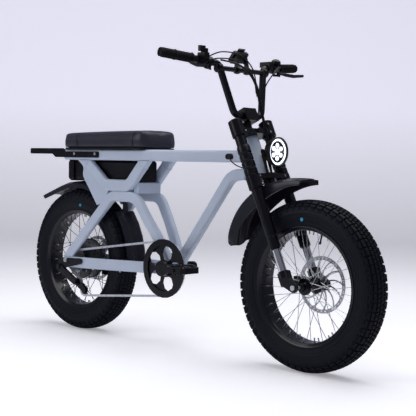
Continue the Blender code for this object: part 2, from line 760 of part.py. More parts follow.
def chain_course():
    """Walks the chain round its four sprockets.

    Returns the places of all rollers in order, and the angle of one tooth on each sprocket. Direction 1
    turns clockwise seen from the right side. The slack of the lower run makes the count of links whole.
    """
    sprockets = (
        (RING_TEETH, (CRANK_AXIS.x, CRANK_AXIS.z), 1),
        (JOCKEY_TEETH, LOWER_JOCKEY, 1),
        (JOCKEY_TEETH, UPPER_JOCKEY, -1),
        (COG_TEETH[ENGAGED_COG], (REAR_AXLE.x, REAR_AXLE.z), 1),
    )
    runs = []
    for k, (teeth, centre, turn) in enumerate(sprockets):
        next_teeth, next_centre, next_turn = sprockets[(k + 1) % len(sprockets)]
        radius, next_radius = pitch_radius(teeth), pitch_radius(next_teeth)
        dx, dz = next_centre[0] - centre[0], next_centre[1] - centre[1]
        span = math.hypot(dx, dz)
        heading = math.atan2(dz, dx) + math.asin((next_turn * next_radius - turn * radius) / span)
        right = (math.sin(heading), -math.cos(heading))
        start = [c - turn * radius * n for c, n in zip(centre, right)]
        end = [c - next_turn * next_radius * n for c, n in zip(next_centre, right)]
        runs.append((start, end))
    pieces = []
    for k, (teeth, centre, turn) in enumerate(sprockets):
        arrive, leave = runs[k - 1][1], runs[k][0]
        entry = math.atan2(arrive[1] - centre[1], arrive[0] - centre[0])
        exit_angle = math.atan2(leave[1] - centre[1], leave[0] - centre[0])
        wrap = ((entry - exit_angle) * turn) % math.tau
        pieces.append(("wrap", k, entry, wrap * teeth / math.tau))
        length = math.dist(*runs[k])
        pieces.append(("run", k, 0.0, length / CHAIN_PITCH))
    links = sum(piece[3] for piece in pieces)
    slack = round(links) - links
    lower_run = 1
    course, wrapped, reached, phases = [], [], 0.0, {}
    for order, (kind, k, entry, count) in enumerate(pieces):
        teeth, centre, turn = sprockets[k]
        if order == lower_run:
            count += slack
        first = math.ceil(reached - 1e-9)
        for link in range(first, math.ceil(reached + count - 1e-9)):
            done = link - reached
            if kind == "wrap":
                angle = entry - turn * done * math.tau / teeth
                radius = pitch_radius(teeth)
                phases[k] = angle + math.pi / teeth
                x = centre[0] + radius * math.cos(angle)
                z = centre[1] + radius * math.sin(angle)
            else:
                start, end = runs[k]
                share = done / count
                x = start[0] + (end[0] - start[0]) * share
                z = start[1] + (end[1] - start[1]) * share
            course.append((x, z))
            wrapped.append(kind == "wrap")
        reached += count
    return course, wrapped, phases


def make_chain(course, wrapped):
    """One closed ladder: two side bands joined by a roller at every pitch.

    Each roller has 12 corners: 4 on the outer edges at its middle, and 8 where it meets the bands. The
    gaps between rollers are open on and next to the sprockets, where the teeth stand in them. The free
    runs are straight, so they need no corners between their ends.
    """
    count = len(course)
    reach = range(-OPEN_LINKS, OPEN_LINKS + 2)
    gap_is_open = [any(wrapped[(k + j) % count] for j in reach) for k in range(count)]
    kept = [k for k in range(count) if gap_is_open[k] or gap_is_open[k - 1]]
    points, faces = [], []
    for order, k in enumerate(kept):
        along = (Vector(course[(k + 1) % count]) - Vector(course[k - 1])).normalized()
        out = Vector((-along.y, along.x)) * CHAIN_HALF_HEIGHT
        for height in (-1, 1):
            spot = Vector(course[k]) + out * height
            back, ahead = spot - along * ROLLER_HALF_LENGTH, spot + along * ROLLER_HALF_LENGTH
            points.append(side_view(spot.x, spot.y, CHAIN_SIDE - PLATE_OUTER))
            points.append(side_view(back.x, back.y, CHAIN_SIDE - PLATE_INNER))
            points.append(side_view(ahead.x, ahead.y, CHAIN_SIDE - PLATE_INNER))
            points.append(side_view(back.x, back.y, CHAIN_SIDE + PLATE_INNER))
            points.append(side_view(ahead.x, ahead.y, CHAIN_SIDE + PLATE_INNER))
            points.append(side_view(spot.x, spot.y, CHAIN_SIDE + PLATE_OUTER))
        here, there = order * 12, (order + 1) % len(kept) * 12
        for level in (0, 6):
            a, b = here + level, there + level
            faces.append((a, a + 2, a + 4, a + 5, a + 3, a + 1))
            faces.append((a, b, b + 1, a + 2))
            faces.append((a + 5, a + 4, b + 3, b + 5))
            if not gap_is_open[k]:
                faces.append((a + 2, b + 1, b + 3, a + 4))
        faces.append((here, here + 6, there + 6, there))
        faces.append((here + 5, there + 5, there + 11, here + 11))
        if gap_is_open[k]:
            faces.append((here + 2, there + 1, there + 7, here + 8))
            faces.append((here + 4, here + 10, there + 9, there + 3))
            faces.append((here + 2, here + 8, here + 10, here + 4))
        if gap_is_open[k - 1]:
            faces.append((here + 1, here + 3, here + 9, here + 7))
    make("chain", (points, faces))


def make_cassette(phase):
    """Seven cogs in one stack, joined by a core that shares its corners with each cog."""
    centre = (REAR_AXLE.x, REAR_AXLE.z)
    core = circle(19.0, 10, centre)
    bore = circle(FREEHUB_RADIUS + TURN_GAP, 10, centre, hug=True)
    outer_side = CHAIN_SIDE - ENGAGED_COG * COG_SPACING
    half = TOOTH_THICKNESS / 2
    points, faces = [], []

    def add_loop(loop, y):
        points.extend(side_view(u, v, y) for u, v in loop)
        return range(len(points) - len(loop), len(points))

    def wall(a, b):
        for k in range(len(a)):
            n = (k + 1) % len(a)
            faces.append((a[k], a[n], b[n], b[k]))

    def cover(outside, inside, outline, hole):
        flat = [[Vector((u, v, 0.0)) for u, v in loop] for loop in (outline, hole)]
        index = [*outside, *inside]
        faces.extend(tuple(index[k] for k in t) for t in tessellate_polygon(flat))

    last_core, first_bore = None, None
    for k, teeth in enumerate(COG_TEETH):
        y = outer_side + k * COG_SPACING
        angle = phase if k == ENGAGED_COG else 0.3 * k
        outline = toothed(teeth, angle, centre, sharp=k != ENGAGED_COG)
        near, far = add_loop(outline, y - half), add_loop(outline, y + half)
        wall(near, far)
        if k == 0:
            first_bore = add_loop(bore, y - half)
            cover(near, first_bore, outline, bore)
        else:
            joint = add_loop(core, y - half)
            wall(last_core, joint)
            cover(near, joint, outline, core)
        if k < len(COG_TEETH) - 1:
            last_core = add_loop(core, y + half)
            cover(far, last_core, outline, core)
        else:
            last_bore = add_loop(bore, y + half)
            cover(far, last_bore, outline, bore)
    wall(first_bore, last_bore)
    make("cassette", (points, faces))


def make_chainring(phase):
    centre = (CRANK_AXIS.x, CRANK_AXIS.z)
    holes = [circle(18.0, 10, centre, hug=True)]
    for k in range(5):
        middle = math.radians(3 + 72 * k)
        oval = []
        for j in range(8):
            a = math.tau * (j + 0.5) / 8
            radial, tangent = 60.0 + 31.0 * math.cos(a), 26.0 * math.sin(a)
            x = radial * math.cos(middle) - tangent * math.sin(middle)
            z = radial * math.sin(middle) + tangent * math.cos(middle)
            oval.append((centre[0] + x, centre[1] + z))
        holes.append(oval)
    outline = toothed(RING_TEETH, phase, centre)
    half = TOOTH_THICKNESS / 2
    ring = slab(outline, CHAIN_SIDE - half, CHAIN_SIDE + half, side_view, holes)
    inner_face = CHAIN_SIDE - PLATE_OUTER - 1.0
    plate = slab(
        circle(GUARD_RADIUS, 26, centre),
        inner_face - 2.5,
        inner_face,
        side_view,
        [circle(88.0, 18, centre)],
    )
    bosses = []
    for k in range(5):
        angle = math.radians(39 + 72 * k)
        spot = CRANK_AXIS + Vector((93.0 * math.cos(angle), 0.0, 93.0 * math.sin(angle)))
        near = Vector((spot.x, CHAIN_SIDE, spot.z))
        bosses.append(rod(near, Vector((spot.x, inner_face - 1.0, spot.z)), 4.0, 6))
    make("chainring", ring, add=[plate, together(bosses)])


def crank_end(turn):
    reach = Vector((math.cos(CRANK_ANGLE), 0.0, math.sin(CRANK_ANGLE))) * CRANK_LENGTH
    return CRANK_AXIS + reach * turn


def crank_arm(turn, side):
    end = crank_end(turn)
    low = side * CRANK_SIDE - CRANK_HALF_THICKNESS
    high = side * CRANK_SIDE + CRANK_HALF_THICKNESS
    root = circle(19.0, 12, (CRANK_AXIS.x, CRANK_AXIS.z))
    tip = circle(16.0, 12, (end.x, end.z))
    return slab(hull(root + tip), low, high, side_view)


def make_cranks():
    outer = CRANK_SIDE + CRANK_HALF_THICKNESS
    y_tip = outer + PEDAL_WIDTH + 8.0
    right_end, left_end = crank_end(1), crank_end(-1)
    boss = rod(CRANK_AXIS + Vector((0, -58, 0)), CRANK_AXIS + Vector((0, -outer + 2, 0)), 17.5, 16)
    spider = rod(
        CRANK_AXIS + Vector((0, CHAIN_SIDE - TOOTH_THICKNESS / 2 - FIT_GAP, 0)),
        CRANK_AXIS + Vector((0, -outer + 4, 0)),
        30.0,
        20,
    )
    axle = rod(right_end + Vector((0, -outer + 4, 0)), right_end + Vector((0, -y_tip, 0)), PEDAL_AXLE_RADIUS)
    socket = rod(CRANK_AXIS + Vector((0, -70, 0)), CRANK_AXIS, SPINDLE_RADIUS + FIT_GAP, 10, hug=True)
    make("crank_right", crank_arm(1, -1), add=[boss, spider, axle], cut=[socket])
    spindle = rod(CRANK_AXIS + Vector((0, -69, 0)), CRANK_AXIS + Vector((0, outer - 2, 0)), SPINDLE_RADIUS)
    axle = rod(left_end + Vector((0, outer - 4, 0)), left_end + Vector((0, y_tip, 0)), PEDAL_AXLE_RADIUS)
    make("crank_left", crank_arm(-1, 1), add=[spindle, axle])


def make_pedal(name, turn, side, tilt):
    """A cage pedal: a frame with two windows each side of the axle barrel."""
    centre = crank_end(turn)
    inner = CRANK_SIDE + CRANK_HALF_THICKNESS + 3.0
    flat = Vector((math.cos(tilt), 0.0, math.sin(tilt)))
    normal = Vector((-math.sin(tilt), 0.0, math.cos(tilt)))

    def view(u, v, w):
        return centre + flat * u + normal * w + Vector((0.0, side * (inner + v), 0.0))

    half, wide = PEDAL_LENGTH / 2, PEDAL_WIDTH
    outline = [(-half, 8), (-half + 8, 0), (half - 8, 0), (half, 8)]
    outline += [(half, wide - 14), (half - 14, wide), (-half + 14, wide), (-half, wide - 14)]
    windows = []
    for sign in (-1, 1):
        for low, high in ((9.0, 41.0), (49.0, 80.0)):
            near, far = sign * 13.0, sign * (half - 7.0)
            windows.append([(near, low), (far, low), (far, high), (near, high)])
    body = slab(outline, -PEDAL_HEIGHT / 2, PEDAL_HEIGHT / 2, view, windows)
    hole = rod(view(0, -20, 0), view(0, wide + 20, 0), PEDAL_AXLE_RADIUS + TURN_GAP, 10, hug=True)
    make(name, body, cut=[hole])


def make_jockey(name, centre, phase):
    half = TOOTH_THICKNESS / 2
    holes = [circle(3.0 + TURN_GAP, 8, centre, hug=True)]
    outline = toothed(JOCKEY_TEETH, phase, centre)
    make(name, slab(outline, CHAIN_SIDE - half, CHAIN_SIDE + half, side_view, holes))


def make_derailleur():
    plate_gap = 5.0
    outline = hull(circle(14.0, 10, UPPER_JOCKEY) + circle(12.0, 10, LOWER_JOCKEY))
    right = slab(outline, CHAIN_SIDE - plate_gap - 2.0, CHAIN_SIDE - plate_gap, side_view)
    left = slab(outline, CHAIN_SIDE + plate_gap, CHAIN_SIDE + plate_gap + 2.0, side_view)
    pins = []
    for x, z in (UPPER_JOCKEY, LOWER_JOCKEY):
        near = (x, CHAIN_SIDE - plate_gap - 3.5, z)
        pins.append(rod(near, (x, CHAIN_SIDE + plate_gap + 3.5, z), 3.0, 6))
    make("derailleur_cage", right, add=[left, together(pins)])
    outer = CHAIN_SIDE - plate_gap - 2.0 - 3.5
    arm = hull(circle(15.0, 10, (-40.0, 262.0)) + circle(13.0, 10, (58.0, 214.0)))
    knuckle = rod((-44.0, -101.0, 266.0), (-44.0, -112.0, 266.0), 12.0, 12)
    lower = hull(circle(9.0, 8, (56.0, 214.0)) + circle(12.0, 10, UPPER_JOCKEY))
    link = slab(lower, -84.0, outer - 0.3 - 2.0, side_view)
    body = slab(arm, -108.0, -95.6, side_view)
    bridge = rod((50.0, outer - 2.5, 214.0), (50.0, -100.0, 214.0), 11.0, 12)
    hanger = hull(
        circle(12.0, 10, (88.0, 297.0)) + circle(12.0, 10, (-40.0, 292.0)) + circle(13.0, 10, (-44.0, 268.0))
    )
    low = -(88.0 + STAY_THICKNESS / 2 + FIT_GAP)
    hole = circle(REAR_AXLE_RADIUS + FIT_GAP, 12, (REAR_AXLE.x, REAR_AXLE.z), hug=True)
    plate = slab(hanger, low - 5.0, low, side_view, [hole])
    make("derailleur", body, add=[knuckle, bridge, link, plate])


# Frame
def box_section(height, width):
    return rounded_rectangle(height, width, TUBE_CORNER, 1)


def rail(side):
    path = (
        (RAIL_REAR_X, side * RAIL_SIDE, RAIL_Z),
        (RAIL_BEND_X, side * RAIL_SIDE, RAIL_Z),
        (RAIL_FRONT_X, side * RAIL_FRONT_SIDE, RAIL_Z),
    )
    return swept(path, box_section(RAIL_WIDTH, RAIL_HEIGHT), (0, 1, 0))


def battery_strap():
    """The strap under the battery, hung between the rails."""
    inner = BATTERY_HALF_WIDTH + FIT_GAP + 0.5
    outer = RAIL_SIDE - RAIL_WIDTH / 2 + 2.0
    floor = BATTERY_LOW - FIT_GAP
    top = RAIL_Z - 6.0
    left = [
        (inner, floor + 1.5),
        (inner, top),
        (outer, top),
        (outer, floor + 9.0),
        (outer - 9.0, floor - STRAP_THICKNESS),
    ]
    right = [(-y, z) for y, z in reversed(left)]
    middle = [(-inner + 1.5, floor), (inner - 1.5, floor)]
    return slab([*left, *right, *middle], STRAP_REAR_X, STRAP_FRONT_X, rear_view)


def make_front_frame():
    cups = ((HEADSET_LOW, 26.0), (HEAD_TUBE_LOW, 26.0), (HEAD_TUBE_LOW, HEAD_TUBE_RADIUS))
    tops = ((HEAD_TUBE_TOP, HEAD_TUBE_RADIUS), (HEAD_TUBE_TOP, 26.0), (HEADSET_TOP, 26.0))
    head = turned(cups + tops, steering(0, 0, 0), STEER_UP, 16)
    bore = rod(steering(0, 0, -120), steering(0, 0, 120), HEAD_TUBE_BORE, 10, hug=True)
    down = swept(
        bent(DOWN_TUBE_PATH, DOWN_TUBE_BEND, 5),
        box_section(DOWN_TUBE_WIDTH, DOWN_TUBE_HEIGHT),
        (0, 1, 0),
    )
    crown_room = steering_block((-80.0, -22.0, HEAD_TUBE_LOW - 50.0), (5.0, 22.0, HEADSET_LOW))
    half = Vector((0, SHELL_HALF_WIDTH, 0))
    shell = rod(CRANK_AXIS - half, CRANK_AXIS + half, SHELL_RADIUS, 18)
    spindle_bore = rod(CRANK_AXIS - 2 * half, CRANK_AXIS + 2 * half, SPINDLE_RADIUS + TURN_GAP, 10, hug=True)
    crosses = []
    for x in RAIL_CROSS_X:
        share = max(x - RAIL_BEND_X, 0) / (RAIL_FRONT_X - RAIL_BEND_X)
        y = RAIL_SIDE + (RAIL_FRONT_SIDE - RAIL_SIDE) * share
        crosses.append(rod((x, -y, RAIL_Z), (x, y, RAIL_Z), 13.0, 10))
    port = slab(rounded_rectangle(34.0, 20.0, 9.0, 2, (860.0, 736.0)), -44.5, -36.0, side_view)
    make(
        "front_frame",
        head,
        add=[rail(1), rail(-1), down, shell, *crosses, port, battery_strap()],
        cut=[bore, spindle_bore, crown_room],
    )


def side_frame_shapes():
    """The left side frame in pieces: arch, upper loop and gusset."""
    upper = [(x, RAIL_SIDE, z) for x, z in UPPER_LOOP_PATH]
    ceiling = ((0, 0, RAIL_UNDERSIDE - FIT_GAP), (0, 0, 1))
    loop = swept(
        bent(upper, UPPER_LOOP_BEND, 2),
        box_section(LOOP_WIDTH, LOOP_HEIGHT),
        (0, 1, 0),
        end_planes=(ceiling, ceiling),
    )
    arch_path = bent(ARCH_PATH, ARCH_BENDS, 2)
    foot, knee = Vector(ARCH_PATH[0]), Vector(ARCH_PATH[2])
    sizes = []
    for place in arch_path:
        share = min(max((place.z - foot.z) / (knee.z - foot.z), 0.0), 1.0)
        thin = ARCH_FOOT_THINNING + (1 - ARCH_FOOT_THINNING) * share if place.x < knee.x else 1.0
        sizes.append((thin, 1.0))
    floor = (foot, (-STAY_SLOPE, 0, 1))
    arch = swept(arch_path, box_section(LOOP_WIDTH, ARCH_HEIGHT), (0, 1, 0), sizes, (floor, None))
    low, high = RAIL_SIDE - GUSSET_HALF_THICKNESS, RAIL_SIDE + GUSSET_HALF_THICKNESS
    return arch, loop, slab(GUSSET_OUTLINE, low, high, side_view)


def make_side_frames():
    arch, loop, gusset = side_frame_shapes()
    bridges = []
    x, z = REAR_BRIDGE
    bridges.append(rod((x, -RAIL_SIDE, z), (x, RAIL_SIDE, z), REAR_BRIDGE_RADIUS, 14))
    width = FRONT_BRIDGE_HIGH[0] - FRONT_BRIDGE_LOW[0]
    height = FRONT_BRIDGE_HIGH[1] - FRONT_BRIDGE_LOW[1]
    middle = (FRONT_BRIDGE_LOW[0] + width / 2, FRONT_BRIDGE_LOW[1] + height / 2)
    web = rounded_rectangle(width, height, 6.0, 1, middle)
    bridges.append(slab(web, 6.0 - RAIL_SIDE, RAIL_SIDE - 6.0, side_view))
    shell = rod(CRANK_AXIS - Vector((0, 80, 0)), CRANK_AXIS + Vector((0, 80, 0)), SHELL_RADIUS + FIT_GAP, 18,
                hug=True)
    stay_top = STAY_PATH[-1][2] + STAY_HEIGHT_FRONT / 2 + FIT_GAP
    below = block((430.0, -80.0, 250.0), (600.0, 80.0, stay_top))
    make(
        "side_frames",
        arch,
        add=[loop, gusset, *bridges, mirrored(arch), mirrored(loop), mirrored(gusset)],
        cut=[shell, below],
    )


def make_rear_stays():
    heights = [STAY_HEIGHT_REAR] * 3 + [44.0, STAY_HEIGHT_FRONT]
    sizes = [(1.0, height / STAY_HEIGHT_REAR) for height in heights]
    section = rounded_rectangle(STAY_THICKNESS, STAY_HEIGHT_REAR, 5.0, 1)
    left = swept(STAY_PATH, section, (0, 1, 0), sizes)
    x, z = STAY_BRIDGE
    bridge = rod((x, -59.0, z), (x, 59.0, z), 9.0, 10)
    axle = rod((0, -110, REAR_AXLE.z), (0, 110, REAR_AXLE.z), REAR_AXLE_RADIUS + FIT_GAP, 10, hug=True)
    shell = rod(CRANK_AXIS - Vector((0, 60, 0)), CRANK_AXIS + Vector((0, 60, 0)), SHELL_RADIUS + FIT_GAP, 18,
                hug=True)
    make("rear_stays", left, add=[bridge, mirrored(left), *kickstand_bracket()], cut=[axle, shell])


# Saddle, battery, rack and rear guards
def seat_half_width(inset):
    """Half the width of the saddle at a distance inside either end, following its round corners."""
    short = max(SEAT_CORNER - inset, 0.0)
    return SEAT_HALF_WIDTH - SEAT_CORNER + math.sqrt(SEAT_CORNER ** 2 - short ** 2)


def make_seat():
    """A flat base, and a cushion along it: drawn-in sides, a seam groove round it and a crowned top."""
    middle = (SEAT_REAR_X + SEAT_FRONT_X) / 2
    length = SEAT_FRONT_X - SEAT_REAR_X
    base = rounded_rectangle(length - 6.0, 2 * SEAT_HALF_WIDTH - 8.0, SEAT_CORNER - 4.0, 3, (middle, 0.0))
    make("seat_base", slab(base, SEAT_BASE_LOW, SEAT_BASE_TOP, plan_view))
    low = SEAT_BASE_TOP + FIT_GAP
    stations = [(SEAT_REAR_X + inset, inset, 1.0) for inset in SEAT_END_STEPS]
    for x in SEAT_SEAMS_X:
        for step, fullness in ((-SEAT_SEAM_WIDTH, 1.0), (0.0, 0.0), (SEAT_SEAM_WIDTH, 1.0)):
            stations.append((x + step, SEAT_CORNER, fullness))
    stations += [(x, SEAT_CORNER, 1.0) for x in SEAT_PLAIN_X]
    stations += [(SEAT_FRONT_X - inset, inset, 1.0) for inset in SEAT_END_STEPS]
    half = SEAT_SECTION
    rows = []
    for x, inset, full in sorted(stations):
        along = (x - SEAT_REAR_X) / length
        rise = (SEAT_TOP_FRONT - SEAT_TOP_REAR) * along
        top = SEAT_TOP_REAR + rise - SEAT_END_DROP * math.exp(-inset / 12.0)
        wide = seat_half_width(inset) - SEAT_SEAM_DEPTH * (1.0 - full)
        row = []
        for share_y, share_z in half + [(-y, z) for y, z in reversed(half[:-1])]:
            lean = SEAT_END_LEAN * share_z * (1.0 - 2.0 * along)
            z = low + (top - low - SEAT_SEAM_DEPTH * (1.0 - full)) * share_z
            row.append(Vector((x + lean, wide * share_y, z)))
        rows.append(row)
    make("seat_cushion", skin(rows))


def make_battery():
    height = BATTERY_TOP - BATTERY_LOW
    section = rounded_rectangle(2 * BATTERY_HALF_WIDTH, height, BATTERY_CORNER, 2)
    middle = BATTERY_LOW + height / 2
    ends = []
    for x, shrink in (
        (BATTERY_REAR_X, 0.93),
        (BATTERY_REAR_X + 4, 1.0),
        (BATTERY_FRONT_X - 6, 1.0),
        (BATTERY_FRONT_X, 0.9),
    ):
        ends.append([Vector((x, y * shrink, middle + z * shrink)) for y, z in section])
    cable = [
        (386.0, 0.0, 700.0),
        (425.0, 0.0, 694.0),
        (440.0, 0.0, 664.0),
        (425.0, 0.0, 645.0),
        (386.0, 0.0, 645.0),
    ]
    make("battery_case", skin(ends), add=[tube(bent(cable, 14.0, 2), 4.5, 6, (0, 1, 0))])
    rear = BATTERY_REAR_X - FIT_GAP
    lamp = rounded_rectangle(56.0, 34.0, 10.0, 2, (0.0, 676.0))
    make("tail_light", slab(lamp, rear - TAIL_LIGHT_DEPTH, rear, rear_view))


def make_rack():
    plates = []
    for side in (1, -1):
        low = side * RACK_INNER_SIDE
        high = side * (RACK_INNER_SIDE + RACK_PLATE)
        plates.append(slab(RACK_OUTLINE, min(low, high), max(low, high), side_view))
    reach = RACK_INNER_SIDE + RACK_PLATE / 2
    bars = [rod((x, -reach, 751.0), (x, reach, 751.0), 6.0, 8) for x in RACK_BARS_X]
    make("rear_rack", plates[0], add=[plates[1], *bars])


def guard_rows(section, stations, axle, thickness):
    """Rows of a thin guard round an axle. A station is (degrees, crown radius, skirt depth share)."""
    half = list(section)
    outer = half + [(-y, drop) for y, drop in reversed(half[:-1])]
    inner = []
    for y, drop in reversed(outer):
        edge = abs(y) >= abs(half[0][0]) - 1e-6
        pull = thickness / abs(half[0][0]) * y if edge or abs(y) > 45.0 else 0.0
        lower = 0.0 if edge and drop == half[0][1] else thickness
        inner.append((y - pull, drop - lower))
    rows = []
    for degrees, crown, share in stations:
        angle = math.radians(degrees)
        row = []
        for y, drop in outer + inner:
            radius = crown + drop * share
            row.append(Vector((axle.x + radius * math.cos(angle), y, axle.z + radius * math.sin(angle))))
        rows.append(row)
    return rows


def make_rear_guards():
    stations = []
    steps = 7
    for k in range(steps + 1):
        share = k / steps
        angle = REAR_GUARD_FROM + (REAR_GUARD_TO - REAR_GUARD_FROM) * share
        flare = REAR_GUARD_FLARE * max(0.0, (share - 0.7) / 0.3) ** 2
        stations.append((angle, REAR_GUARD_RADIUS + flare, 1.0))
    rows = guard_rows(REAR_GUARD_SECTION, stations, REAR_AXLE, GUARD_THICKNESS)
    boss = rod((60.0, 0.0, 618.0), (60.0, 0.0, BATTERY_LOW - FIT_GAP), 9.0, 10)
    make("rear_fender", skin(rows), add=[boss])
    stations = []
    steps = 4
    for k in range(steps + 1):
        angle = MUDGUARD_FROM + (MUDGUARD_TO - MUDGUARD_FROM) * k / steps
        stations.append((angle, REAR_GUARD_RADIUS, 1.0))
    rows = guard_rows(MUDGUARD_SECTION, stations, REAR_AXLE, GUARD_THICKNESS)
    x, z = STAY_BRIDGE
    lug = block((325.0, -12.0, z - 4.0), (x - 9.0 - FIT_GAP, 12.0, z + 4.0))
    bridge_floor = REAR_BRIDGE[1] - REAR_BRIDGE_RADIUS - FIT_GAP
    tab = slab(
        [(250.0, 500.0), (254.0, 500.0), (254.0, bridge_floor), (250.0, bridge_floor)],
        -12.0,
        12.0,
        side_view,
    )
    make("rear_mudguard", skin(rows), add=[lug, tab])


# Fork and steering
def crown_outline():
    legs = [circle(SLEEVE_RADIUS, 16, (LEG_AHEAD, side * LEG_SIDE)) for side in (1, -1)]
    return hull(legs[0] + legs[1] + circle(27.0, 16))


def make_crowns():
    leg_holes = []
    for side in (1, -1):
        low = steering(LEG_AHEAD, side * LEG_SIDE, LOWER_CLAMP_LOW - 20)
        high = steering(LEG_AHEAD, side * LEG_SIDE, UPPER_CLAMP_TOP + 20)
        leg_holes.append(rod(low, high, OUTER_TUBE_RADIUS + FIT_GAP, 14, hug=True))
    steerer_hole = rod(steering(0, 0, 40), steering(0, 0, 130), STEERER_RADIUS + FIT_GAP, 10, hug=True)
    upper_clamps, lower_clamps = [], []
    for side in (1, -1):
        places = [steering(LEG_AHEAD, side * LEG_SIDE, up) for up in (UPPER_CLAMP_LOW, UPPER_CLAMP_TOP)]
        upper_clamps.append(rod(*places, CLAMP_RADIUS, 16))
        places = [steering(LEG_AHEAD, side * LEG_SIDE, up) for up in (LOWER_CLAMP_LOW, LOWER_CLAMP_TOP)]
        lower_clamps.append(rod(*places, CLAMP_RADIUS, 16))
    upper = slab(crown_outline(), UPPER_CROWN_LOW, UPPER_CROWN_TOP, steering)
    make("upper_crown", upper, add=upper_clamps, cut=[*leg_holes, steerer_hole])
    lower = slab(crown_outline(), LOWER_CROWN_LOW, LOWER_CROWN_TOP, steering)
    steerer = rod(steering(0, 0, LOWER_CROWN_LOW + 2), steering(0, 0, STEERER_TOP), STEERER_RADIUS, 12)
    make("lower_crown", lower, add=[*lower_clamps, steerer], cut=leg_holes)


def make_fork_tube(name, side):
    base = steering(LEG_AHEAD, side * LEG_SIDE, 0.0)
    bore = STANCHION_RADIUS + SLIDE_GAP
    profile = [(BORE_TOP, bore), (OUTER_TUBE_LOW, bore), (OUTER_TUBE_LOW, OUTER_TUBE_RADIUS)]
    low, high = SLEEVE_LOW, SLEEVE_TOP
    step = (high - low) / SLEEVE_RIBS
    profile.append((low, OUTER_TUBE_RADIUS))
    for k in range(SLEEVE_RIBS):
        start = low + k * step
        profile += [(start, SLEEVE_RADIUS), (start + step * 0.7, SLEEVE_RADIUS)]
        if k < SLEEVE_RIBS - 1:
            profile.append((start + step * 0.85, SLEEVE_GROOVE_RADIUS))
    profile += [(high, OUTER_TUBE_RADIUS), (UPPER_CLAMP_TOP + 1.0, OUTER_TUBE_RADIUS)]
    profile.append((OUTER_TUBE_TOP, OUTER_TUBE_RADIUS - 4.0))
    make(name, turned(profile, base, STEER_UP, 12))


def make_fork_lowers():
    for name, side in (("right", -1), ("left", 1)):
        low = steering(LEG_AHEAD, side * LEG_SIDE, FOOT_TOP - FOOT_SOCKET_DEPTH + FIT_GAP)
        high = steering(LEG_AHEAD, side * LEG_SIDE, STANCHION_TOP)
        make(f"stanchion_{name}", rod(low, high, STANCHION_RADIUS, 14))
        top_back = steering(LEG_AHEAD - 19.0, 0, FOOT_TOP)
        top_front = steering(LEG_AHEAD + 22.0, 0, FOOT_TOP)
        low_front, low_back = top_front - STEER_UP * FOOT_HEIGHT, top_back - STEER_UP * FOOT_HEIGHT
        outline = [(corner.x, corner.z) for corner in (top_back, top_front, low_front, low_back)]
        y = side * LEG_SIDE
        body = slab(outline, y - FOOT_HALF_THICKNESS, y + FOOT_HALF_THICKNESS, side_view)
        hole = circle(FRONT_AXLE_RADIUS + FIT_GAP, 12, (FRONT_AXLE.x, FRONT_AXLE.z), hug=True)
        ear = hull(circle(17.0, 12, (FRONT_AXLE.x, FRONT_AXLE.z)) + [(1160.0, 300.0), (1190.0, 330.0)])
        outer = side * (LEG_SIDE + FOOT_HALF_THICKNESS + FIT_GAP)
        inner = outer - side * DROPOUT_THICKNESS
        dropout = slab(ear, min(inner, outer), max(inner, outer), side_view, [hole])
        socket_low = steering(LEG_AHEAD, y, FOOT_TOP - FOOT_SOCKET_DEPTH)
        cup_top = steering(LEG_AHEAD, y, FOOT_TOP + 3.0)
        cup = rod(socket_low - STEER_UP * 4, cup_top, STANCHION_RADIUS + 4.0, 14)
        socket = rod(socket_low, high, STANCHION_RADIUS + FIT_GAP, 14, hug=True)
        more, cuts = [dropout], [socket]
        if side > 0:
            disc_room = FRONT_DISC_SIDE + DISC_THICKNESS / 2 + TURN_GAP
            cuts.append(block((1100.0, 50.0, 250.0), (1300.0, disc_room, 420.0)))
            lug = [(1100.0, 286.0), (1130.0, 286.0), (1172.0, 300.0), (1165.0, 318.0), (1100.0, 314.0)]
            more.append(slab(lug, 77.0 + FIT_GAP, 86.0, side_view))
        make(f"fork_foot_{name}", body, add=[cup, *more], cut=cuts)
    start, end = FRONT_AXLE - Vector((0, 94.6, 0)), FRONT_AXLE + Vector((0, 94.6, 0))
    reach = Vector((0, FRONT_AXLE_END, 0))
    axle = rod(FRONT_AXLE - reach, FRONT_AXLE + reach, FRONT_AXLE_RADIUS, 8)
    nuts = [rod(start, start - Vector((0, 5, 0)), 10.0, 6), rod(end, end + Vector((0, 5, 0)), 10.0, 6)]
    make("front_axle", axle, add=[together(nuts)])


def make_caliper(name, low, high, axle, y, radius, add=()):
    room = rod(axle + Vector((0, y - 2.2, 0)), axle + Vector((0, y + 2.2, 0)), radius + 1.5, WHEEL_SIDES)
    body = block(low, high)
    make(name, body, add=add, cut=[room])


def make_steering_parts():
    bar_up = (BAR_LOW_CENTRE - STEER_POINT).dot(STEER_UP)
    bar_ahead = (BAR_LOW_CENTRE - STEER_POINT).dot(STEER_AHEAD)
    post = rod(steering(0, 0, UPPER_CROWN_TOP + FIT_GAP), steering(0, 0, STEERER_TOP + 12), 19.0, 14)
    head = steering_block((-4.0, -33.0, bar_up - 24), (bar_ahead + 19.0, 33.0, bar_up + 24))
    half_run = Vector((0, 60, 0))
    bar_bore = rod(BAR_LOW_CENTRE - half_run, BAR_LOW_CENTRE + half_run, BAR_RADIUS + FIT_GAP, 10, hug=True)
    bore_low, bore_top = steering(0, 0, 60), steering(0, 0, STEERER_TOP + 0.5)
    steerer_bore = rod(bore_low, bore_top, STEERER_RADIUS + FIT_GAP, 10, hug=True)
    make("stem", post, add=[head], cut=[bar_bore, steerer_bore])
    bends = (0.0, 30.0, BAR_BEND, 0.0)
    half = bent(BAR_PATH, bends, 3)
    path = [Vector((p.x, -p.y, p.z)) for p in reversed(half[1:])] + half
    x, y, z = CROSSBAR
    crossbar = rod((x, -y, z), (x, y, z), CROSSBAR_RADIUS, 8)
    make("handlebar", tube(path, BAR_RADIUS, 8, (1, 0, 0.2)), add=[crossbar])


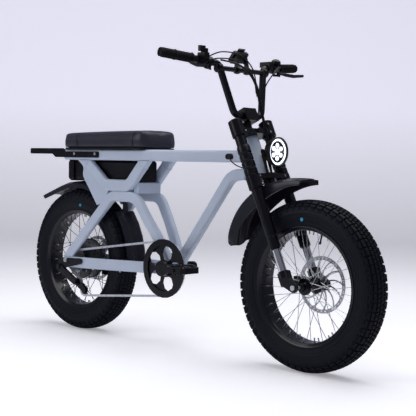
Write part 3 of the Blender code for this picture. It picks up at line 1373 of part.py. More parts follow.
def grip(start, end, side, ribs):
    """A sleeve round the bar between two distances from the centre plane."""
    base = along_bar(side * start)
    direction = bar_direction(side)
    length = (along_bar(side * end) - base).length
    bore = (BAR_RADIUS + TURN_GAP) / math.cos(math.pi / GRIP_SIDES)
    profile = [(0.0, bore), (0.0, GRIP_RADIUS + 3.0), (4.0, GRIP_RADIUS + 3.0), (5.0, GRIP_RADIUS)]
    for k in range(ribs):
        middle = length * (k + 1) / (ribs + 1)
        profile += [(middle - 2, GRIP_RADIUS), (middle, GRIP_RADIUS - 1.5), (middle + 2, GRIP_RADIUS)]
    profile += [(length, GRIP_RADIUS), (length, bore)]
    return turned(profile, base, direction, GRIP_SIDES, closed=True)


def clamp_ring(start, end, side, radius):
    base = along_bar(side * start)
    length = (along_bar(side * end) - base).length
    bore = (BAR_RADIUS + FIT_GAP) / math.cos(math.pi / 10)
    profile = [(0.0, bore), (0.0, radius), (length, radius), (length, bore)]
    return turned(profile, base, bar_direction(side), 10, closed=True)


LEVER_AXIS = Vector((0.43, 0.0, 0.903)).normalized()


def lever_pivot(side):
    return Vector((886.0, side * 196.0, 1052.0))


def make_brake_lever(name, side):
    pivot = lever_pivot(side)
    path = [pivot, Vector((899.0, side * 226.0, 1047.0)), Vector((904.0, side * 262.0, 1045.0))]
    path.append(Vector((916.0, side * 304.0, 1049.0)))
    sizes = [(0.65, 1), (1, 1), (1, 0.9), (0.8, 1)]
    blade = swept(path, rounded_rectangle(13.0, 7.0, 2.5, 1), LEVER_AXIS, sizes)
    boss = rod(pivot - LEVER_AXIS * 5, pivot + LEVER_AXIS * 5, 8.0, 12)
    pin = rod(pivot - LEVER_AXIS * 30, pivot + LEVER_AXIS * 30, 3.0 + TURN_GAP, 8, hug=True)
    make(name, blade, add=[boss], cut=[pin])


def make_brake_mount(name, side):
    pivot = lever_pivot(side)
    inner, outer = (154.0, 172.0) if side < 0 else (176.0, 214.0)
    ring = clamp_ring(inner, outer, side, 18.5)
    start = along_bar(side * (inner + 9.0), 4.0, -9.0)
    elbow = start + Vector((5.0, side * 3.0, -16.0))
    arm_end = pivot - LEVER_AXIS * 9.5
    arm = swept([start, elbow, arm_end], rounded_rectangle(12.0, 7.0, 2.0, 1), (0, 1, 0))
    pad = rod(pivot - LEVER_AXIS * 11.5, pivot - LEVER_AXIS * 5.4, 8.5, 12)
    pin = rod(pivot - LEVER_AXIS * 10.0, pivot + LEVER_AXIS * 6.5, 3.0, 8)
    more = []
    if side > 0:
        profile = ((0.0, 9.0), (4.0, 19.0), (14.0, 17.5), (20.0, 10.0), (22.0, 3.0))
        more.append(turned(profile, along_bar(205.0, 6.0, 14.0), (0.15, 0, 1), 10))
    make(name, ring, add=[arm, pad, pin, *more], cut=[bar_tunnel(side)])


def make_controls():
    make("grip_left", grip(232.0, BAR_END, 1, 3))
    make("grip_right", grip(301.0, BAR_END, -1, 1))
    make("throttle_grip", grip(THROTTLE_FROM, THROTTLE_TO, -1, 1))
    make_brake_mount("brake_mount_right", -1)
    make_brake_mount("brake_mount_left", 1)
    make_brake_lever("brake_lever_right", -1)
    make_brake_lever("brake_lever_left", 1)
    ring = clamp_ring(177.0, 207.0, -1, 18.0)
    pod = block((850.0, SHIFT_SIDE - 13.0, 1074.0), (884.0, SHIFT_SIDE + 13.0, 1096.0))
    post = rod((SHIFT_X, SHIFT_SIDE, 1090.0), (SHIFT_X, SHIFT_SIDE, 1103.0), 5.0, 8)
    make("shifter_body", ring, add=[pod, post], cut=[bar_tunnel(-1)])
    knob = rod((SHIFT_X, SHIFT_SIDE, 1096.5), (SHIFT_X, SHIFT_SIDE, 1110.0), 13.0, 12)
    paddle = block((866.0, SHIFT_SIDE - 27.0, 1099.0), (878.0, SHIFT_SIDE, 1119.0))
    hole = rod((SHIFT_X, SHIFT_SIDE, 1090.0), (SHIFT_X, SHIFT_SIDE, 1103.6), 5.0 + TURN_GAP, 8, hug=True)
    make("shifter_lever", knob, add=[paddle], cut=[hole])
    switch_ring = clamp_ring(140.0, 168.0, 1, 17.5)
    switch = block((836.0, 142.0, 1072.0), (884.0, 166.0, 1092.0))
    make("mode_switch", switch_ring, add=[switch], cut=[bar_tunnel(1)])


def bar_tunnel(side):
    return rod(along_bar(side * 130.0), along_bar(side * 240.0), BAR_RADIUS + FIT_GAP, 10, hug=True)


def make_display():
    face = Vector((29.0, 0.0, 34.0)).normalized()
    normal = Vector((-face.z, 0.0, face.x))
    centre = Vector((857.0, 0.0, 1097.0))

    def view(u, v, w):
        return centre + face * u + Vector((0.0, v, 0.0)) + normal * w

    outline = rounded_rectangle(46.0, 78.0, 8.0, 2)
    screen = slab(outline, -5.5, 5.5, view)
    arms, rings = [], []
    x, _, z = CROSSBAR
    for side in (1, -1):
        y = side * 26.0
        bore = (CROSSBAR_RADIUS + FIT_GAP) / math.cos(math.pi / 10)
        profile = [(-7.0, bore), (-7.0, 15.0), (7.0, 15.0), (7.0, bore)]
        rings.append(turned(profile, (x, y, z), (0, 1, 0), 10, closed=True))
        outline = [(x - 8, z + 10), (x + 8, z + 10), (x - 2, z + 50), (x - 14, z + 50)]
        arms.append(slab(outline, y - 5.0, y + 5.0, side_view))
    make("display", screen, add=[together(arms), together(rings)])


def make_headlight():
    x, y, z = 1058.0, 0.0, 755.0
    profile = ((-50, 14), (-43, 30), (-22, 46), (-7, 52), (0, 52), (0, 47.5), (-9, 46))
    shell = turned(profile, (x, y, z), (1, 0, 0), 16)
    pivot = Vector(LAMP_PIVOT)
    reach = Vector((0.0, LAMP_KNUCKLE, 0.0))
    knuckle = rod(pivot - reach, pivot + reach, 9.0, 12)
    neck = block((pivot.x, -LAMP_KNUCKLE + 1.0, z - 7.0), (x - 46.0, LAMP_KNUCKLE - 1.0, z + 7.0))
    pin_room = rod(pivot - reach * 2, pivot + reach * 2, 3.0 + TURN_GAP, 8, hug=True)
    make("headlight_shell", shell, add=[knuckle, neck], cut=[pin_room])
    lens = ((-8.7, 45.0), (-4.0, 45.0), (-1.5, 30.0))
    make("headlight_lens", turned(lens, (x, y, z), (1, 0, 0), 16))
    inner = LAMP_KNUCKLE + TURN_GAP
    outer = inner + BRACKET_THICKNESS
    low = LOWER_CROWN_TOP + FIT_GAP
    foot = steering_block((28.5, -outer, low), (44.0, outer, low + 4.0))
    heel, toe = steering(29.5, 0.0, low + 2.0), steering(37.0, 0.0, low + 2.0)
    arms = []
    for side in (1, -1):
        outline = hull([(heel.x, heel.z), (toe.x, toe.z)] + circle(8.0, 10, (pivot.x, pivot.z)))
        edges = sorted((side * inner, side * outer))
        arms.append(slab(outline, edges[0], edges[1] - 0.1, side_view))
    pin = rod(pivot - Vector((0.0, outer - 1.0, 0.0)), pivot + Vector((0.0, outer - 1.0, 0.0)), 3.0, 8)
    make("headlight_bracket", foot, add=[*arms, pin])


def around_front_axle(degrees, radius, y):
    """A place by its angle ahead of straight above the front axle, its radius and its side."""
    angle = math.radians(90.0 - degrees)
    return FRONT_AXLE + Vector((radius * math.cos(angle), y, radius * math.sin(angle)))


def make_front_fender():
    """A deep guard on the lower crown. Its angles are measured from straight above the front axle."""
    width = FENDER_HALF_WIDTH
    half = [
        (-width, 1.0, 3.0),
        (1.0 - width, 0.35, 3.0),
        (-42.0, 0.06, 3.0),
        (-17.0, 0.0, 3.0),
        (-15.0, 0.0, 0.0),
    ]
    outer = half + [(-y, share, dip) for y, share, dip in reversed(half)]
    rows = []
    for (degrees, crown), depth in zip(FENDER_CROWN, FENDER_SKIRT):
        at_end = degrees == FENDER_CROWN[-1][0]
        rows.append([])
        for y, share, dip in outer:
            angle = degrees + (FENDER_END_ROUNDING * (y / width) ** 4 if at_end else 0.0)
            rows[-1].append(around_front_axle(angle, crown - depth * share - dip, y))
        for y, share, dip in reversed(outer):
            angle = degrees + (FENDER_END_ROUNDING * (y / width) ** 4 if at_end else 0.0)
            inward = 0.0 if share == 1.0 else GUARD_THICKNESS
            pull = math.copysign(GUARD_THICKNESS, -y) if abs(y) > 45.0 else 0.0
            rows[-1].append(around_front_axle(angle, crown - depth * share - dip - inward, y + pull))
    mount = steering_block((4.0, -14.0, -134.0), (40.0, 14.0, LOWER_CROWN_LOW - FIT_GAP))
    make("front_fender", skin(rows), add=[mount])


# Small pieces on the frame
def kickstand_bracket():
    inner = STAY_PATH[0][1] + STAY_THICKNESS / 2
    outline = [(18.0, 258.0), (62.0, 258.0), (62.0, 300.0), (18.0, 300.0)]
    plate = slab(outline, inner - 3.0, inner + 7.0, side_view)
    x, z = KICKSTAND_PIVOT
    return plate, rod((x, inner + 5.0, z), (x, inner + 26.0, z), 4.0, 10)


def make_kickstand():
    x, z = KICKSTAND_PIVOT
    start = STAY_PATH[0][1] + STAY_THICKNESS / 2 + 7.0 + TURN_GAP
    boss = rod((x, start, z), (x, start + 17.0, z), 11.0, 12)
    foot_x, foot_y = KICKSTAND_FOOT
    path = [(x, start + 8.5, z - 4.0), (x - 9.0, start + 10.0, z - 30.0), (foot_x + 3.0, foot_y, 10.0)]
    leg = tube(path, 7.0, 8, (1, 0, 0))
    foot = block((foot_x - 15.0, foot_y - 13.0, 0.0), (foot_x + 15.0, foot_y + 13.0, 12.0))
    hole = rod((x, start - 5, z), (x, start + 30.0, z), 4.0 + TURN_GAP, 10, hug=True)
    make("kickstand", boss, add=[leg, foot], cut=[hole])


def make_axles():
    end = REAR_AXLE_END
    axle = rod((0, -end, REAR_AXLE.z), (0, end, REAR_AXLE.z), REAR_AXLE_RADIUS, 8)
    right = 88.0 + STAY_THICKNESS / 2 + FIT_GAP + 5.0 + FIT_GAP
    left = 88.0 + STAY_THICKNESS / 2 + FIT_GAP
    nuts = [
        rod((0, -right, REAR_AXLE.z), (0, -right - 8, REAR_AXLE.z), 10.0, 6),
        rod((0, left, REAR_AXLE.z), (0, left + 8, REAR_AXLE.z), 10.0, 6),
    ]
    make("rear_axle", axle, add=[together(nuts)])


def smooth_route(route, spacing):
    """Evenly spaced points on the smooth curve through a cord's own points."""
    places = [Vector(p) for p in route]
    places = [2 * places[0] - places[1], *places, 2 * places[-1] - places[-2]]
    fine = []
    for k in range(1, len(places) - 2):
        before, start, end, after = places[k - 1:k + 3]
        for step in range(20):
            t = step / 20
            bend = (2 * before - 5 * start + 4 * end - after) * t * t
            twist = (3 * start - before - 3 * end + after) * t ** 3
            fine.append((2 * start + (end - before) * t + bend + twist) / 2)
    fine.append(places[-2])
    lengths = [0.0]
    for a, b in zip(fine, fine[1:]):
        lengths.append(lengths[-1] + (b - a).length)
    count = max(2, round(lengths[-1] / spacing))
    result, k = [], 0
    for step in range(count + 1):
        goal = lengths[-1] * step / count
        while k < len(fine) - 2 and lengths[k + 1] < goal:
            k += 1
        result.append(fine[k].lerp(fine[k + 1], (goal - lengths[k]) / (lengths[k + 1] - lengths[k])))
    return result


def make_cord(name, route, diameter):
    curve = bpy.data.curves.new(name, "CURVE")
    curve.dimensions = "3D"
    curve.bevel_depth = diameter / 2 * MM
    curve.bevel_resolution = 2
    curve.use_fill_caps = True
    places = smooth_route(route, CORD_POINT_SPACING * diameter)
    line = curve.splines.new("POLY")
    line.points.add(len(places) - 1)
    for point, place in zip(line.points, places):
        point.co = (*part_place(place), 1.0)
    body, finish = body_and_finish(name)
    curve.materials.append(material(name, finish))
    thing = bpy.data.objects.new(name, curve)
    bpy.context.scene.collection.objects.link(thing)
    hang(thing, body)


def make_cables():
    """The bundle of cables and hoses from the right side of the bar down to the headlight bracket."""
    beside = LAMP_KNUCKLE + TURN_GAP + BRACKET_THICKNESS + FIT_GAP + CONTROL_CABLE_DIAMETER / 2
    route = [
        (890.0, -128.0, 1075.0),
        (925.0, -80.0, 1062.0),
        (948.0, -40.0, 1030.0),
        (958.0, -12.0, 985.0),
        (958.0, 6.0, 930.0),
        (968.0, 16.0, 870.0),
        (982.0, beside, 815.0),
        (989.0, beside, 776.0),
        (993.0, beside, 748.0),
    ]
    make_cord("control_cables", route, CONTROL_CABLE_DIAMETER)


def build():
    for thing in list(bpy.data.objects):
        bpy.data.objects.remove(thing)
    make_pivots()
    course, wrapped, phases = chain_course()
    for name, axle in (("front", FRONT_AXLE), ("rear", REAR_AXLE)):
        make_tyre(f"{name}_tyre", axle)
        make_rim(f"{name}_rim", axle)
    make_front_hub()
    make_rear_hub()
    make_disc("front_disc", FRONT_AXLE, FRONT_DISC_SIDE, FRONT_DISC_RADIUS, 16.0)
    make_disc("rear_disc", REAR_AXLE, REAR_DISC_SIDE, REAR_DISC_RADIUS, 16.0)
    make_chain(course, wrapped)
    make_cassette(phases[3])
    make_chainring(phases[0])
    make_cranks()
    make_pedal("pedal_right", 1, -1, 0.0)
    make_pedal("pedal_left", -1, 1, LEFT_PEDAL_TILT)
    make_jockey("jockey_upper", UPPER_JOCKEY, phases[2])
    make_jockey("jockey_lower", LOWER_JOCKEY, phases[1])
    make_derailleur()
    make_front_frame()
    make_side_frames()
    make_rear_stays()
    make_seat()
    make_battery()
    make_rack()
    make_rear_guards()
    make_crowns()
    make_fork_tube("fork_tube_right", -1)
    make_fork_tube("fork_tube_left", 1)
    make_fork_lowers()
    make_caliper("front_caliper", (1092.0, 53.0, 280.0), (1131.0, 77.0, 318.0), FRONT_AXLE, FRONT_DISC_SIDE,
                 FRONT_DISC_RADIUS)
    stay_inside = STAY_PATH[0][1] - STAY_THICKNESS / 2 - FIT_GAP
    tab = block((40.0, REAR_DISC_SIDE + 4.0, 262.0), (58.0, stay_inside, 298.0))
    make_caliper("rear_caliper", (40.0, 59.0, 230.0), (94.0, 80.5, 268.0), REAR_AXLE, REAR_DISC_SIDE,
                 REAR_DISC_RADIUS, add=[tab])
    make_steering_parts()
    make_controls()
    make_display()
    make_headlight()
    make_front_fender()
    make_kickstand()
    make_axles()
    make_cables()


build()
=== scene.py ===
"""Looks of a fat tyre electric bike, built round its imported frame.

Places are given in the drawing's millimetres: ahead of the rear axle, to the rider's left and above the
ground, or ahead, left and up of the steering axis. at() and steering() turn them into the frame's metres.
"""

import json
import math

import bmesh
import bpy
from bpy.props import FloatProperty, FloatVectorProperty, IntProperty, PointerProperty
from bpy.types import Operator, Panel, PropertyGroup
from mathutils import Matrix, Vector

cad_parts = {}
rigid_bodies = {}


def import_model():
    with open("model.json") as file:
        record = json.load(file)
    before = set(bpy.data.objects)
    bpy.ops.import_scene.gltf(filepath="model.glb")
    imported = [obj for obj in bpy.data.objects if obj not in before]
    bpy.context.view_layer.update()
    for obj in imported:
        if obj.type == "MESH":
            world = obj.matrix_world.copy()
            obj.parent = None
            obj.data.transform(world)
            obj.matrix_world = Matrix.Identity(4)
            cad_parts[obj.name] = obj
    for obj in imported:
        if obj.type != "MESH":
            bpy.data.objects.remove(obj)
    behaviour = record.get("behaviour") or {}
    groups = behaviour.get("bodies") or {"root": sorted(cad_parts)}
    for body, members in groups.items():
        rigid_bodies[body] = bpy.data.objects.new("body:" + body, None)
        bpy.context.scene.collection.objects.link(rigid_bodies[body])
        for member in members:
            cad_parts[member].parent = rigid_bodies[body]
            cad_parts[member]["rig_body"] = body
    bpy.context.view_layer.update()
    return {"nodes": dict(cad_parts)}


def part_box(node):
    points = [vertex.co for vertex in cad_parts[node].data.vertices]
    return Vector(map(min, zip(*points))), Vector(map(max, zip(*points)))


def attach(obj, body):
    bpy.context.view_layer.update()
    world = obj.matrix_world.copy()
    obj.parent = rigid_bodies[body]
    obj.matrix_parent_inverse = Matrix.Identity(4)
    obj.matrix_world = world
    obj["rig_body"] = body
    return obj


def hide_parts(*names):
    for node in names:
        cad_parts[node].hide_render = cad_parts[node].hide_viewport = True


bl_info = {
    "name": "Fat tyre electric bike",
    "version": (1, 0, 0),
    "blender": (4, 5, 0),
    "location": "3D View > Sidebar > Bike",
    "description": "Finishes and fine pieces of a fat tyre electric bike",
    "category": "Object",
}

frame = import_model()
NODES = frame["nodes"]
MM = 0.001


# Places read from the frame
def centre_of(node):
    low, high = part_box(node)
    return (Vector(low) + Vector(high)) / 2


FRONT_AXLE = centre_of("front_tyre")
REAR_AXLE = centre_of("rear_tyre")
Y_AXIS = Vector((0.0, 1.0, 0.0))
Z_AXIS = Vector((0.0, 0.0, 1.0))

# Camera, measured on the photograph's frame of 416 by 416
CAMERA_PLACE = Vector((2.7203, -2.7254, 0.7092))
CAMERA_YAW = math.radians(43.730)
CAMERA_PITCH = math.radians(2.522)
CAMERA_ROLL = math.radians(1.077)
CAMERA_FOCUS_PX = 1006.83
PHOTO_WIDTH_PX = 416
SENSOR_WIDTH_MM = 36.0

# Mesh clean-up
MERGE_DISTANCE = 0.01 * MM
SHELL_MERGE_DISTANCE = 0.001 * MM
FLAT_ANGLE = math.radians(0.6)
SHARP_ANGLE = math.radians(34)
STRAIGHT_ANGLE = math.radians(89.5)
LEAST_BEND = 1e-6
LEAST_ACROSS = 0.1
LEAST_FOLD = 0.5
ROUND_SIDES = 64
EDGE_SEGMENTS = 2
CABLE_RING_STEPS = 3

# Steering axis and fork
FORK_ANGLE = math.radians(24.6)
STEER_UP = Vector((-math.sin(FORK_ANGLE), 0.0, math.cos(FORK_ANGLE)))
STEER_AHEAD = Vector((math.cos(FORK_ANGLE), 0.0, math.sin(FORK_ANGLE)))
STEER_X, STEER_Z = 947.0, 750.0
LEG_AHEAD, LEG_SIDE = 21.4, 82.0

# Left half of the handlebar, from the clamp out to the end
BAR_PATH = ((909.0, 72.0, 883.0), (872.0, 121.0, 1064.0), (824.0, 360.0, 1086.0))
BAR_RADIUS = 12.7


def at(x, y, z):
    return Vector((REAR_AXLE.x + x * MM, y * MM, z * MM))


def steering(ahead, left, up):
    return at(STEER_X, left, STEER_Z) + (STEER_AHEAD * ahead + STEER_UP * up) * MM


def along_bar(left):
    """A place on the outer run of the handlebar, by its distance from the centre plane."""
    inner, outer = Vector(BAR_PATH[1]), Vector(BAR_PATH[2])
    place = inner.lerp(outer, (abs(left) - inner.y) / (outer.y - inner.y))
    return at(place.x, left, place.z)


def bar_direction(side):
    """The way out along the handlebar's outer run: side is 1 on the left and -1 on the right."""
    run = Vector(BAR_PATH[2]) - Vector(BAR_PATH[1])
    return Vector((run.x, run.y * side, run.z)).normalized()


class BikeStageSettings(PropertyGroup):
    floor_colour: FloatVectorProperty(
        name="Floor colour", description="Colour of the pale floor and backdrop", subtype="COLOR",
        size=3, min=0.0, max=1.0, default=(0.93, 0.93, 0.97))
    backdrop_colour: FloatVectorProperty(
        name="Backdrop colour", description="Colour of the backdrop's upper part", subtype="COLOR",
        size=3, min=0.0, max=1.0, default=(0.88, 0.87, 0.98))
    floor_size: FloatProperty(
        name="Floor size", description="Width of the floor", default=14.0, min=4.0, unit="LENGTH")
    sky_strength: FloatProperty(
        name="Sky strength", description="Strength of the even light from all round", default=0.2, min=0.0)
    backdrop_glow: FloatProperty(
        name="Backdrop glow", description="Own light of the upper backdrop, seen by the camera alone",
        default=0.60, min=0.0)
    key_power: FloatProperty(
        name="Key light", description="Power of the large overhead light", default=96.0, min=0.0)
    side_power: FloatProperty(
        name="Side light", description="Power of the large light beside the camera", default=34.0, min=0.0)


class BikeFinishSettings(PropertyGroup):
    frame_colour: FloatVectorProperty(
        name="Frame colour", description="Blue grey paint of the frame", subtype="COLOR",
        size=3, min=0.0, max=1.0, default=(0.545, 0.615, 0.745))
    black_colour: FloatVectorProperty(
        name="Black alloy colour", description="Satin black of bars, fork and cranks", subtype="COLOR",
        size=3, min=0.0, max=1.0, default=(0.0040, 0.0042, 0.0075))
    rubber_colour: FloatVectorProperty(
        name="Tyre colour", description="Black of the tyre rubber", subtype="COLOR",
        size=3, min=0.0, max=1.0, default=(0.0035, 0.0045, 0.0100))
    leather_colour: FloatVectorProperty(
        name="Saddle colour", description="Black of the saddle cover", subtype="COLOR",
        size=3, min=0.0, max=1.0, default=(0.028, 0.028, 0.044))


class BikeDetailSettings(PropertyGroup):
    tread_rows: IntProperty(
        name="Tread rows", description="Rows of tread blocks round a tyre", default=60, min=24, max=120)
    spoke_groups: IntProperty(
        name="Spoke groups", description="Groups of four spokes in a wheel", default=9, min=4, max=12)


# Material building
MOTTLE_START, MOTTLE_END = 0.3, 0.7
LEAST_ROUGHNESS = 0.02


def nodes_of(name):
    """A new material with its node tree and its shader."""
    material = bpy.data.materials.new(name)
    material.use_nodes = True
    return material, material.node_tree, material.node_tree.nodes["Principled BSDF"]


def add_node(tree, kind, **inputs):
    made = tree.nodes.new(kind)
    for key, value in inputs.items():
        socket = key.replace("_", " ").title() if key not in made.inputs else key
        made.inputs[socket].default_value = value
    return made


def rgba(colour, gain=1.0):
    return (*[min(channel * gain, 1.0) for channel in colour], 1.0)


def finish_material(name, colour, roughness, metallic=0.0, mottle=0.12, mottle_scale=9.0, uneven=0.08,
                    grain_scale=900.0, grain_depth=0.03, coat=0.0, specular=0.5, glow=0.0):
    """Colour mottled by slow noise, uneven roughness and a fine grain in the surface."""
    material, tree, shader = nodes_of(name)
    place = add_node(tree, "ShaderNodeTexCoord")
    cloud = add_node(tree, "ShaderNodeTexNoise", Scale=mottle_scale, Detail=5.0, Roughness=0.6)
    ramp = add_node(tree, "ShaderNodeValToRGB")
    ramp.color_ramp.elements[0].position = MOTTLE_START
    ramp.color_ramp.elements[0].color = rgba(colour, 1.0 - mottle)
    ramp.color_ramp.elements[1].position = MOTTLE_END
    ramp.color_ramp.elements[1].color = rgba(colour, 1.0 + mottle)
    spread = add_node(tree, "ShaderNodeMapRange")
    spread.inputs["To Min"].default_value = max(roughness - uneven, LEAST_ROUGHNESS)
    spread.inputs["To Max"].default_value = roughness + uneven
    grain = add_node(tree, "ShaderNodeTexNoise", Scale=grain_scale, Detail=3.0)
    bump = add_node(tree, "ShaderNodeBump", Strength=grain_depth, Distance=MM)
    tree.links.new(place.outputs["Object"], cloud.inputs["Vector"])
    tree.links.new(place.outputs["Object"], grain.inputs["Vector"])
    tree.links.new(cloud.outputs["Fac"], ramp.inputs["Fac"])
    tree.links.new(ramp.outputs["Color"], shader.inputs["Base Color"])
    tree.links.new(cloud.outputs["Fac"], spread.inputs["Value"])
    tree.links.new(spread.outputs["Result"], shader.inputs["Roughness"])
    tree.links.new(grain.outputs["Fac"], bump.inputs["Height"])
    tree.links.new(bump.outputs["Normal"], shader.inputs["Normal"])
    shader.inputs["Metallic"].default_value = metallic
    shader.inputs["Coat Weight"].default_value = coat
    shader.inputs["Specular IOR Level"].default_value = specular
    if glow:
        tree.links.new(ramp.outputs["Color"], shader.inputs["Emission Color"])
        shader.inputs["Emission Strength"].default_value = glow
    return material


def finish(name):
    """The material of that name, built once from the settings in the panel."""
    label = f"bike_{name}"
    found = bpy.data.materials.get(label)
    if found:
        return found
    values = bpy.context.scene.bike_finish
    black, rubber = values.black_colour, values.rubber_colour
    recipes = {
        "frame_paint": dict(colour=values.frame_colour, roughness=0.40, mottle=0.03, coat=0.08,
                            specular=0.35),
        "black_alloy": dict(colour=black, roughness=0.26, mottle=0.25, specular=0.24),
        "black_gloss": dict(colour=black, roughness=0.14, mottle=0.2, uneven=0.04, specular=0.35),
        "tyre_rubber": dict(colour=rubber, roughness=0.50, mottle=0.3, mottle_scale=30.0, grain_depth=0.2,
                            specular=0.16),
        "tread_rubber": dict(colour=rubber, roughness=0.62, mottle=0.35, mottle_scale=60.0, grain_depth=0.3,
                             specular=0.16),
        "saddle_leather": dict(colour=values.leather_colour, roughness=0.34, grain_scale=420.0,
                               grain_depth=0.25, specular=0.28),
        "bare_steel": dict(colour=(0.60, 0.61, 0.65), roughness=0.30, metallic=0.9),
        "disc_steel": dict(colour=(0.54, 0.55, 0.59), roughness=0.32, metallic=0.9, mottle_scale=60.0),
        "hub_alloy": dict(colour=(0.035, 0.036, 0.042), roughness=0.36, metallic=0.3, mottle=0.2),
        "stanchion_steel": dict(colour=(0.70, 0.71, 0.76), roughness=0.12, metallic=1.0, mottle=0.04,
                                uneven=0.04),
        "chain_steel": dict(colour=(0.66, 0.68, 0.74), roughness=0.36, metallic=0.8, mottle=0.2,
                            mottle_scale=120.0),
        "guard_plastic": dict(colour=(0.016, 0.016, 0.024), roughness=0.24, mottle=0.2, grain_depth=0.05,
                              specular=0.28),
        "black_plastic": dict(colour=(0.005, 0.005, 0.007), roughness=0.32, mottle=0.2, specular=0.22),
        "grip_rubber": dict(colour=(0.005, 0.005, 0.007), roughness=0.6, mottle=0.3, grain_depth=0.2,
                            specular=0.16),
        "cable_rubber": dict(colour=(0.005, 0.005, 0.007), roughness=0.36, mottle=0.2, specular=0.22),
        "rim_alloy": dict(colour=(0.006, 0.007, 0.012), roughness=0.20, mottle=0.2, uneven=0.05,
                          specular=0.35),
        "screen_glass": dict(colour=(0.006, 0.007, 0.009), roughness=0.06, mottle=0.1, uneven=0.02, coat=0.5),
        "lamp_lens": dict(colour=(0.80, 0.84, 0.92), roughness=0.08, mottle=0.05, uneven=0.02, coat=0.6,
                          glow=2.2),
        "lamp_mirror": dict(colour=(0.62, 0.64, 0.70), roughness=0.09, metallic=1.0, uneven=0.03),
        "tail_lens": dict(colour=(0.34, 0.010, 0.008), roughness=0.16, mottle=0.2, uneven=0.05, coat=0.5),
        "pale_mark": dict(colour=(0.03, 0.34, 0.50), roughness=0.5, mottle=0.1),
    }
    return finish_material(label, **recipes[name])


# Mesh building
def add_object(name, data):
    thing = bpy.data.objects.new(name, data)
    bpy.context.scene.collection.objects.link(thing)
    return thing


def smooth(mesh, angle=SHARP_ANGLE):
    mesh.shade_smooth()
    mesh.set_sharp_from_angle(angle=angle)


def skin(rows, closed=False):
    """Joins rows of equally many points, and caps the first and last unless the rows go full circle."""
    count = len(rows[0])
    points = [point for row in rows for point in row]
    faces = []
    for start in range(len(rows) - (0 if closed else 1)):
        low = start * count
        high = (start + 1) % len(rows) * count
        for k in range(count):
            after = (k + 1) % count
            faces.append((low + k, low + after, high + after, high + k))
    if not closed:
        faces.append(tuple(range(count)))
        faces.append(tuple(range(len(points) - count, len(points))))
    return points, faces


def together(shapes):
    points, faces = [], []
    for more_points, more_faces in shapes:
        faces += [tuple(k + len(points) for k in face) for face in more_faces]
        points += more_points
    return points, faces


def mirrored(shape):
    points, faces = shape
    return [Vector((p.x, -p.y, p.z)) for p in points], faces


def turned(profile, base, axis, sides=ROUND_SIDES, closed=False):
    """Turns (along, radius) pairs in millimetres about an axis through base."""
    axis = Vector(axis).normalized()
    across = axis.cross(Z_AXIS)
    across = across.normalized() if across.length > LEAST_ACROSS else Vector((1.0, 0.0, 0.0))
    other = axis.cross(across)
    rows = []
    for along, radius in profile:
        row = []
        for k in range(sides):
            angle = math.tau * k / sides
            spoke = across * math.cos(angle) + other * math.sin(angle)
            row.append(Vector(base) + (axis * along + spoke * radius) * MM)
        rows.append(row)
    return skin(rows, closed)


def rod(start, end, radius, sides=24, edge=0.0):
    """A round bar between two places, with edges rounded by a small bevel."""
    start, end = Vector(start), Vector(end)
    length = (end - start).length / MM
    profile = [(0.0, radius), (length, radius)]
    if edge:
        profile = [(0.0, radius - edge), (edge, radius), (length - edge, radius), (length, radius - edge)]
    return turned(profile, start, end - start, sides)


def rounded_rectangle(width, height, corner, steps=5, centre=(0.0, 0.0)):
    points = []
    for quarter, (sx, sy) in enumerate(((1, 1), (-1, 1), (-1, -1), (1, -1))):
        for k in range(steps + 1):
            angle = math.radians(90) * (quarter + k / steps)
            u = sx * (width / 2 - corner) + corner * math.cos(angle)
            v = sy * (height / 2 - corner) + corner * math.sin(angle)
            points.append((centre[0] + u, centre[1] + v))
    return points


def circle(radius, sides=32, centre=(0.0, 0.0)):
    points = []
    for k in range(sides):
        angle = math.tau * k / sides
        points.append((centre[0] + radius * math.cos(angle), centre[1] + radius * math.sin(angle)))
    return points


def bent(path, radii, steps=8):
    """Rounds the corners of a path of places, with radii in millimetres."""
    points = [Vector(p) for p in path]
    result = [points[0]]
    for k in range(1, len(points) - 1):
        radius = (radii[k] if isinstance(radii, (tuple, list)) else radii) * MM
        before = (points[k - 1] - points[k]).normalized()
        after = (points[k + 1] - points[k]).normalized()
        half = before.angle(after) / 2
        if radius <= 0 or half > STRAIGHT_ANGLE:
            result.append(points[k])
            continue
        reach = radius / math.tan(half)
        centre = points[k] + (before + after).normalized() * radius / math.sin(half)
        first = (points[k] + before * reach - centre).normalized()
        last = (points[k] + after * reach - centre).normalized()
        for step in range(steps + 1):
            result.append(centre + first.slerp(last, step / steps) * radius)
    result.append(points[-1])
    return result


def swept(path, section, across=Y_AXIS, sizes=None, end_planes=(None, None)):
    """Carries a flat section in millimetres along a path of places.

    The first side of the section lies along across. Bends keep the section's full width, sizes scale it
    at each place, and an end may be cut by a plane, given as a place on it and its normal.
    """
    path = [Vector(p) for p in path]
    lines = [(b - a).normalized() for a, b in zip(path, path[1:])]
    rows = []
    for k, place in enumerate(path):
        into, out = lines[max(k - 1, 0)], lines[min(k, len(lines) - 1)]
        along = (into + out).normalized()
        u = (Vector(across) - along * Vector(across).dot(along)).normalized()
        v = along.cross(u)
        bend = out - into
        stretch = 1 / max(into.dot(along), LEAST_FOLD) - 1
        fold = bend.normalized() if bend.length > LEAST_BEND else Vector()
        scale_u, scale_v = sizes[k] if sizes else (1.0, 1.0)
        row = []
        for a, b in section:
            offset = (u * a * scale_u + v * b * scale_v) * MM
            row.append(place + offset + fold * offset.dot(fold) * stretch)
        rows.append(row)
    for row, line, plane in ((rows[0], lines[0], end_planes[0]), (rows[-1], lines[-1], end_planes[1])):
        if plane:
            point, normal = Vector(plane[0]), Vector(plane[1])
            for k, corner in enumerate(row):
                row[k] = corner + line * (point - corner).dot(normal) / line.dot(normal)
    return skin(rows)


def plate(outline, low, high, view):
    """A plate with the outline of a drawing view, from depth low to depth high."""
    return skin([[view(u, v, depth) for u, v in outline] for depth in (low, high)])


def side_view(x, z, y):
    return at(x, y, z)


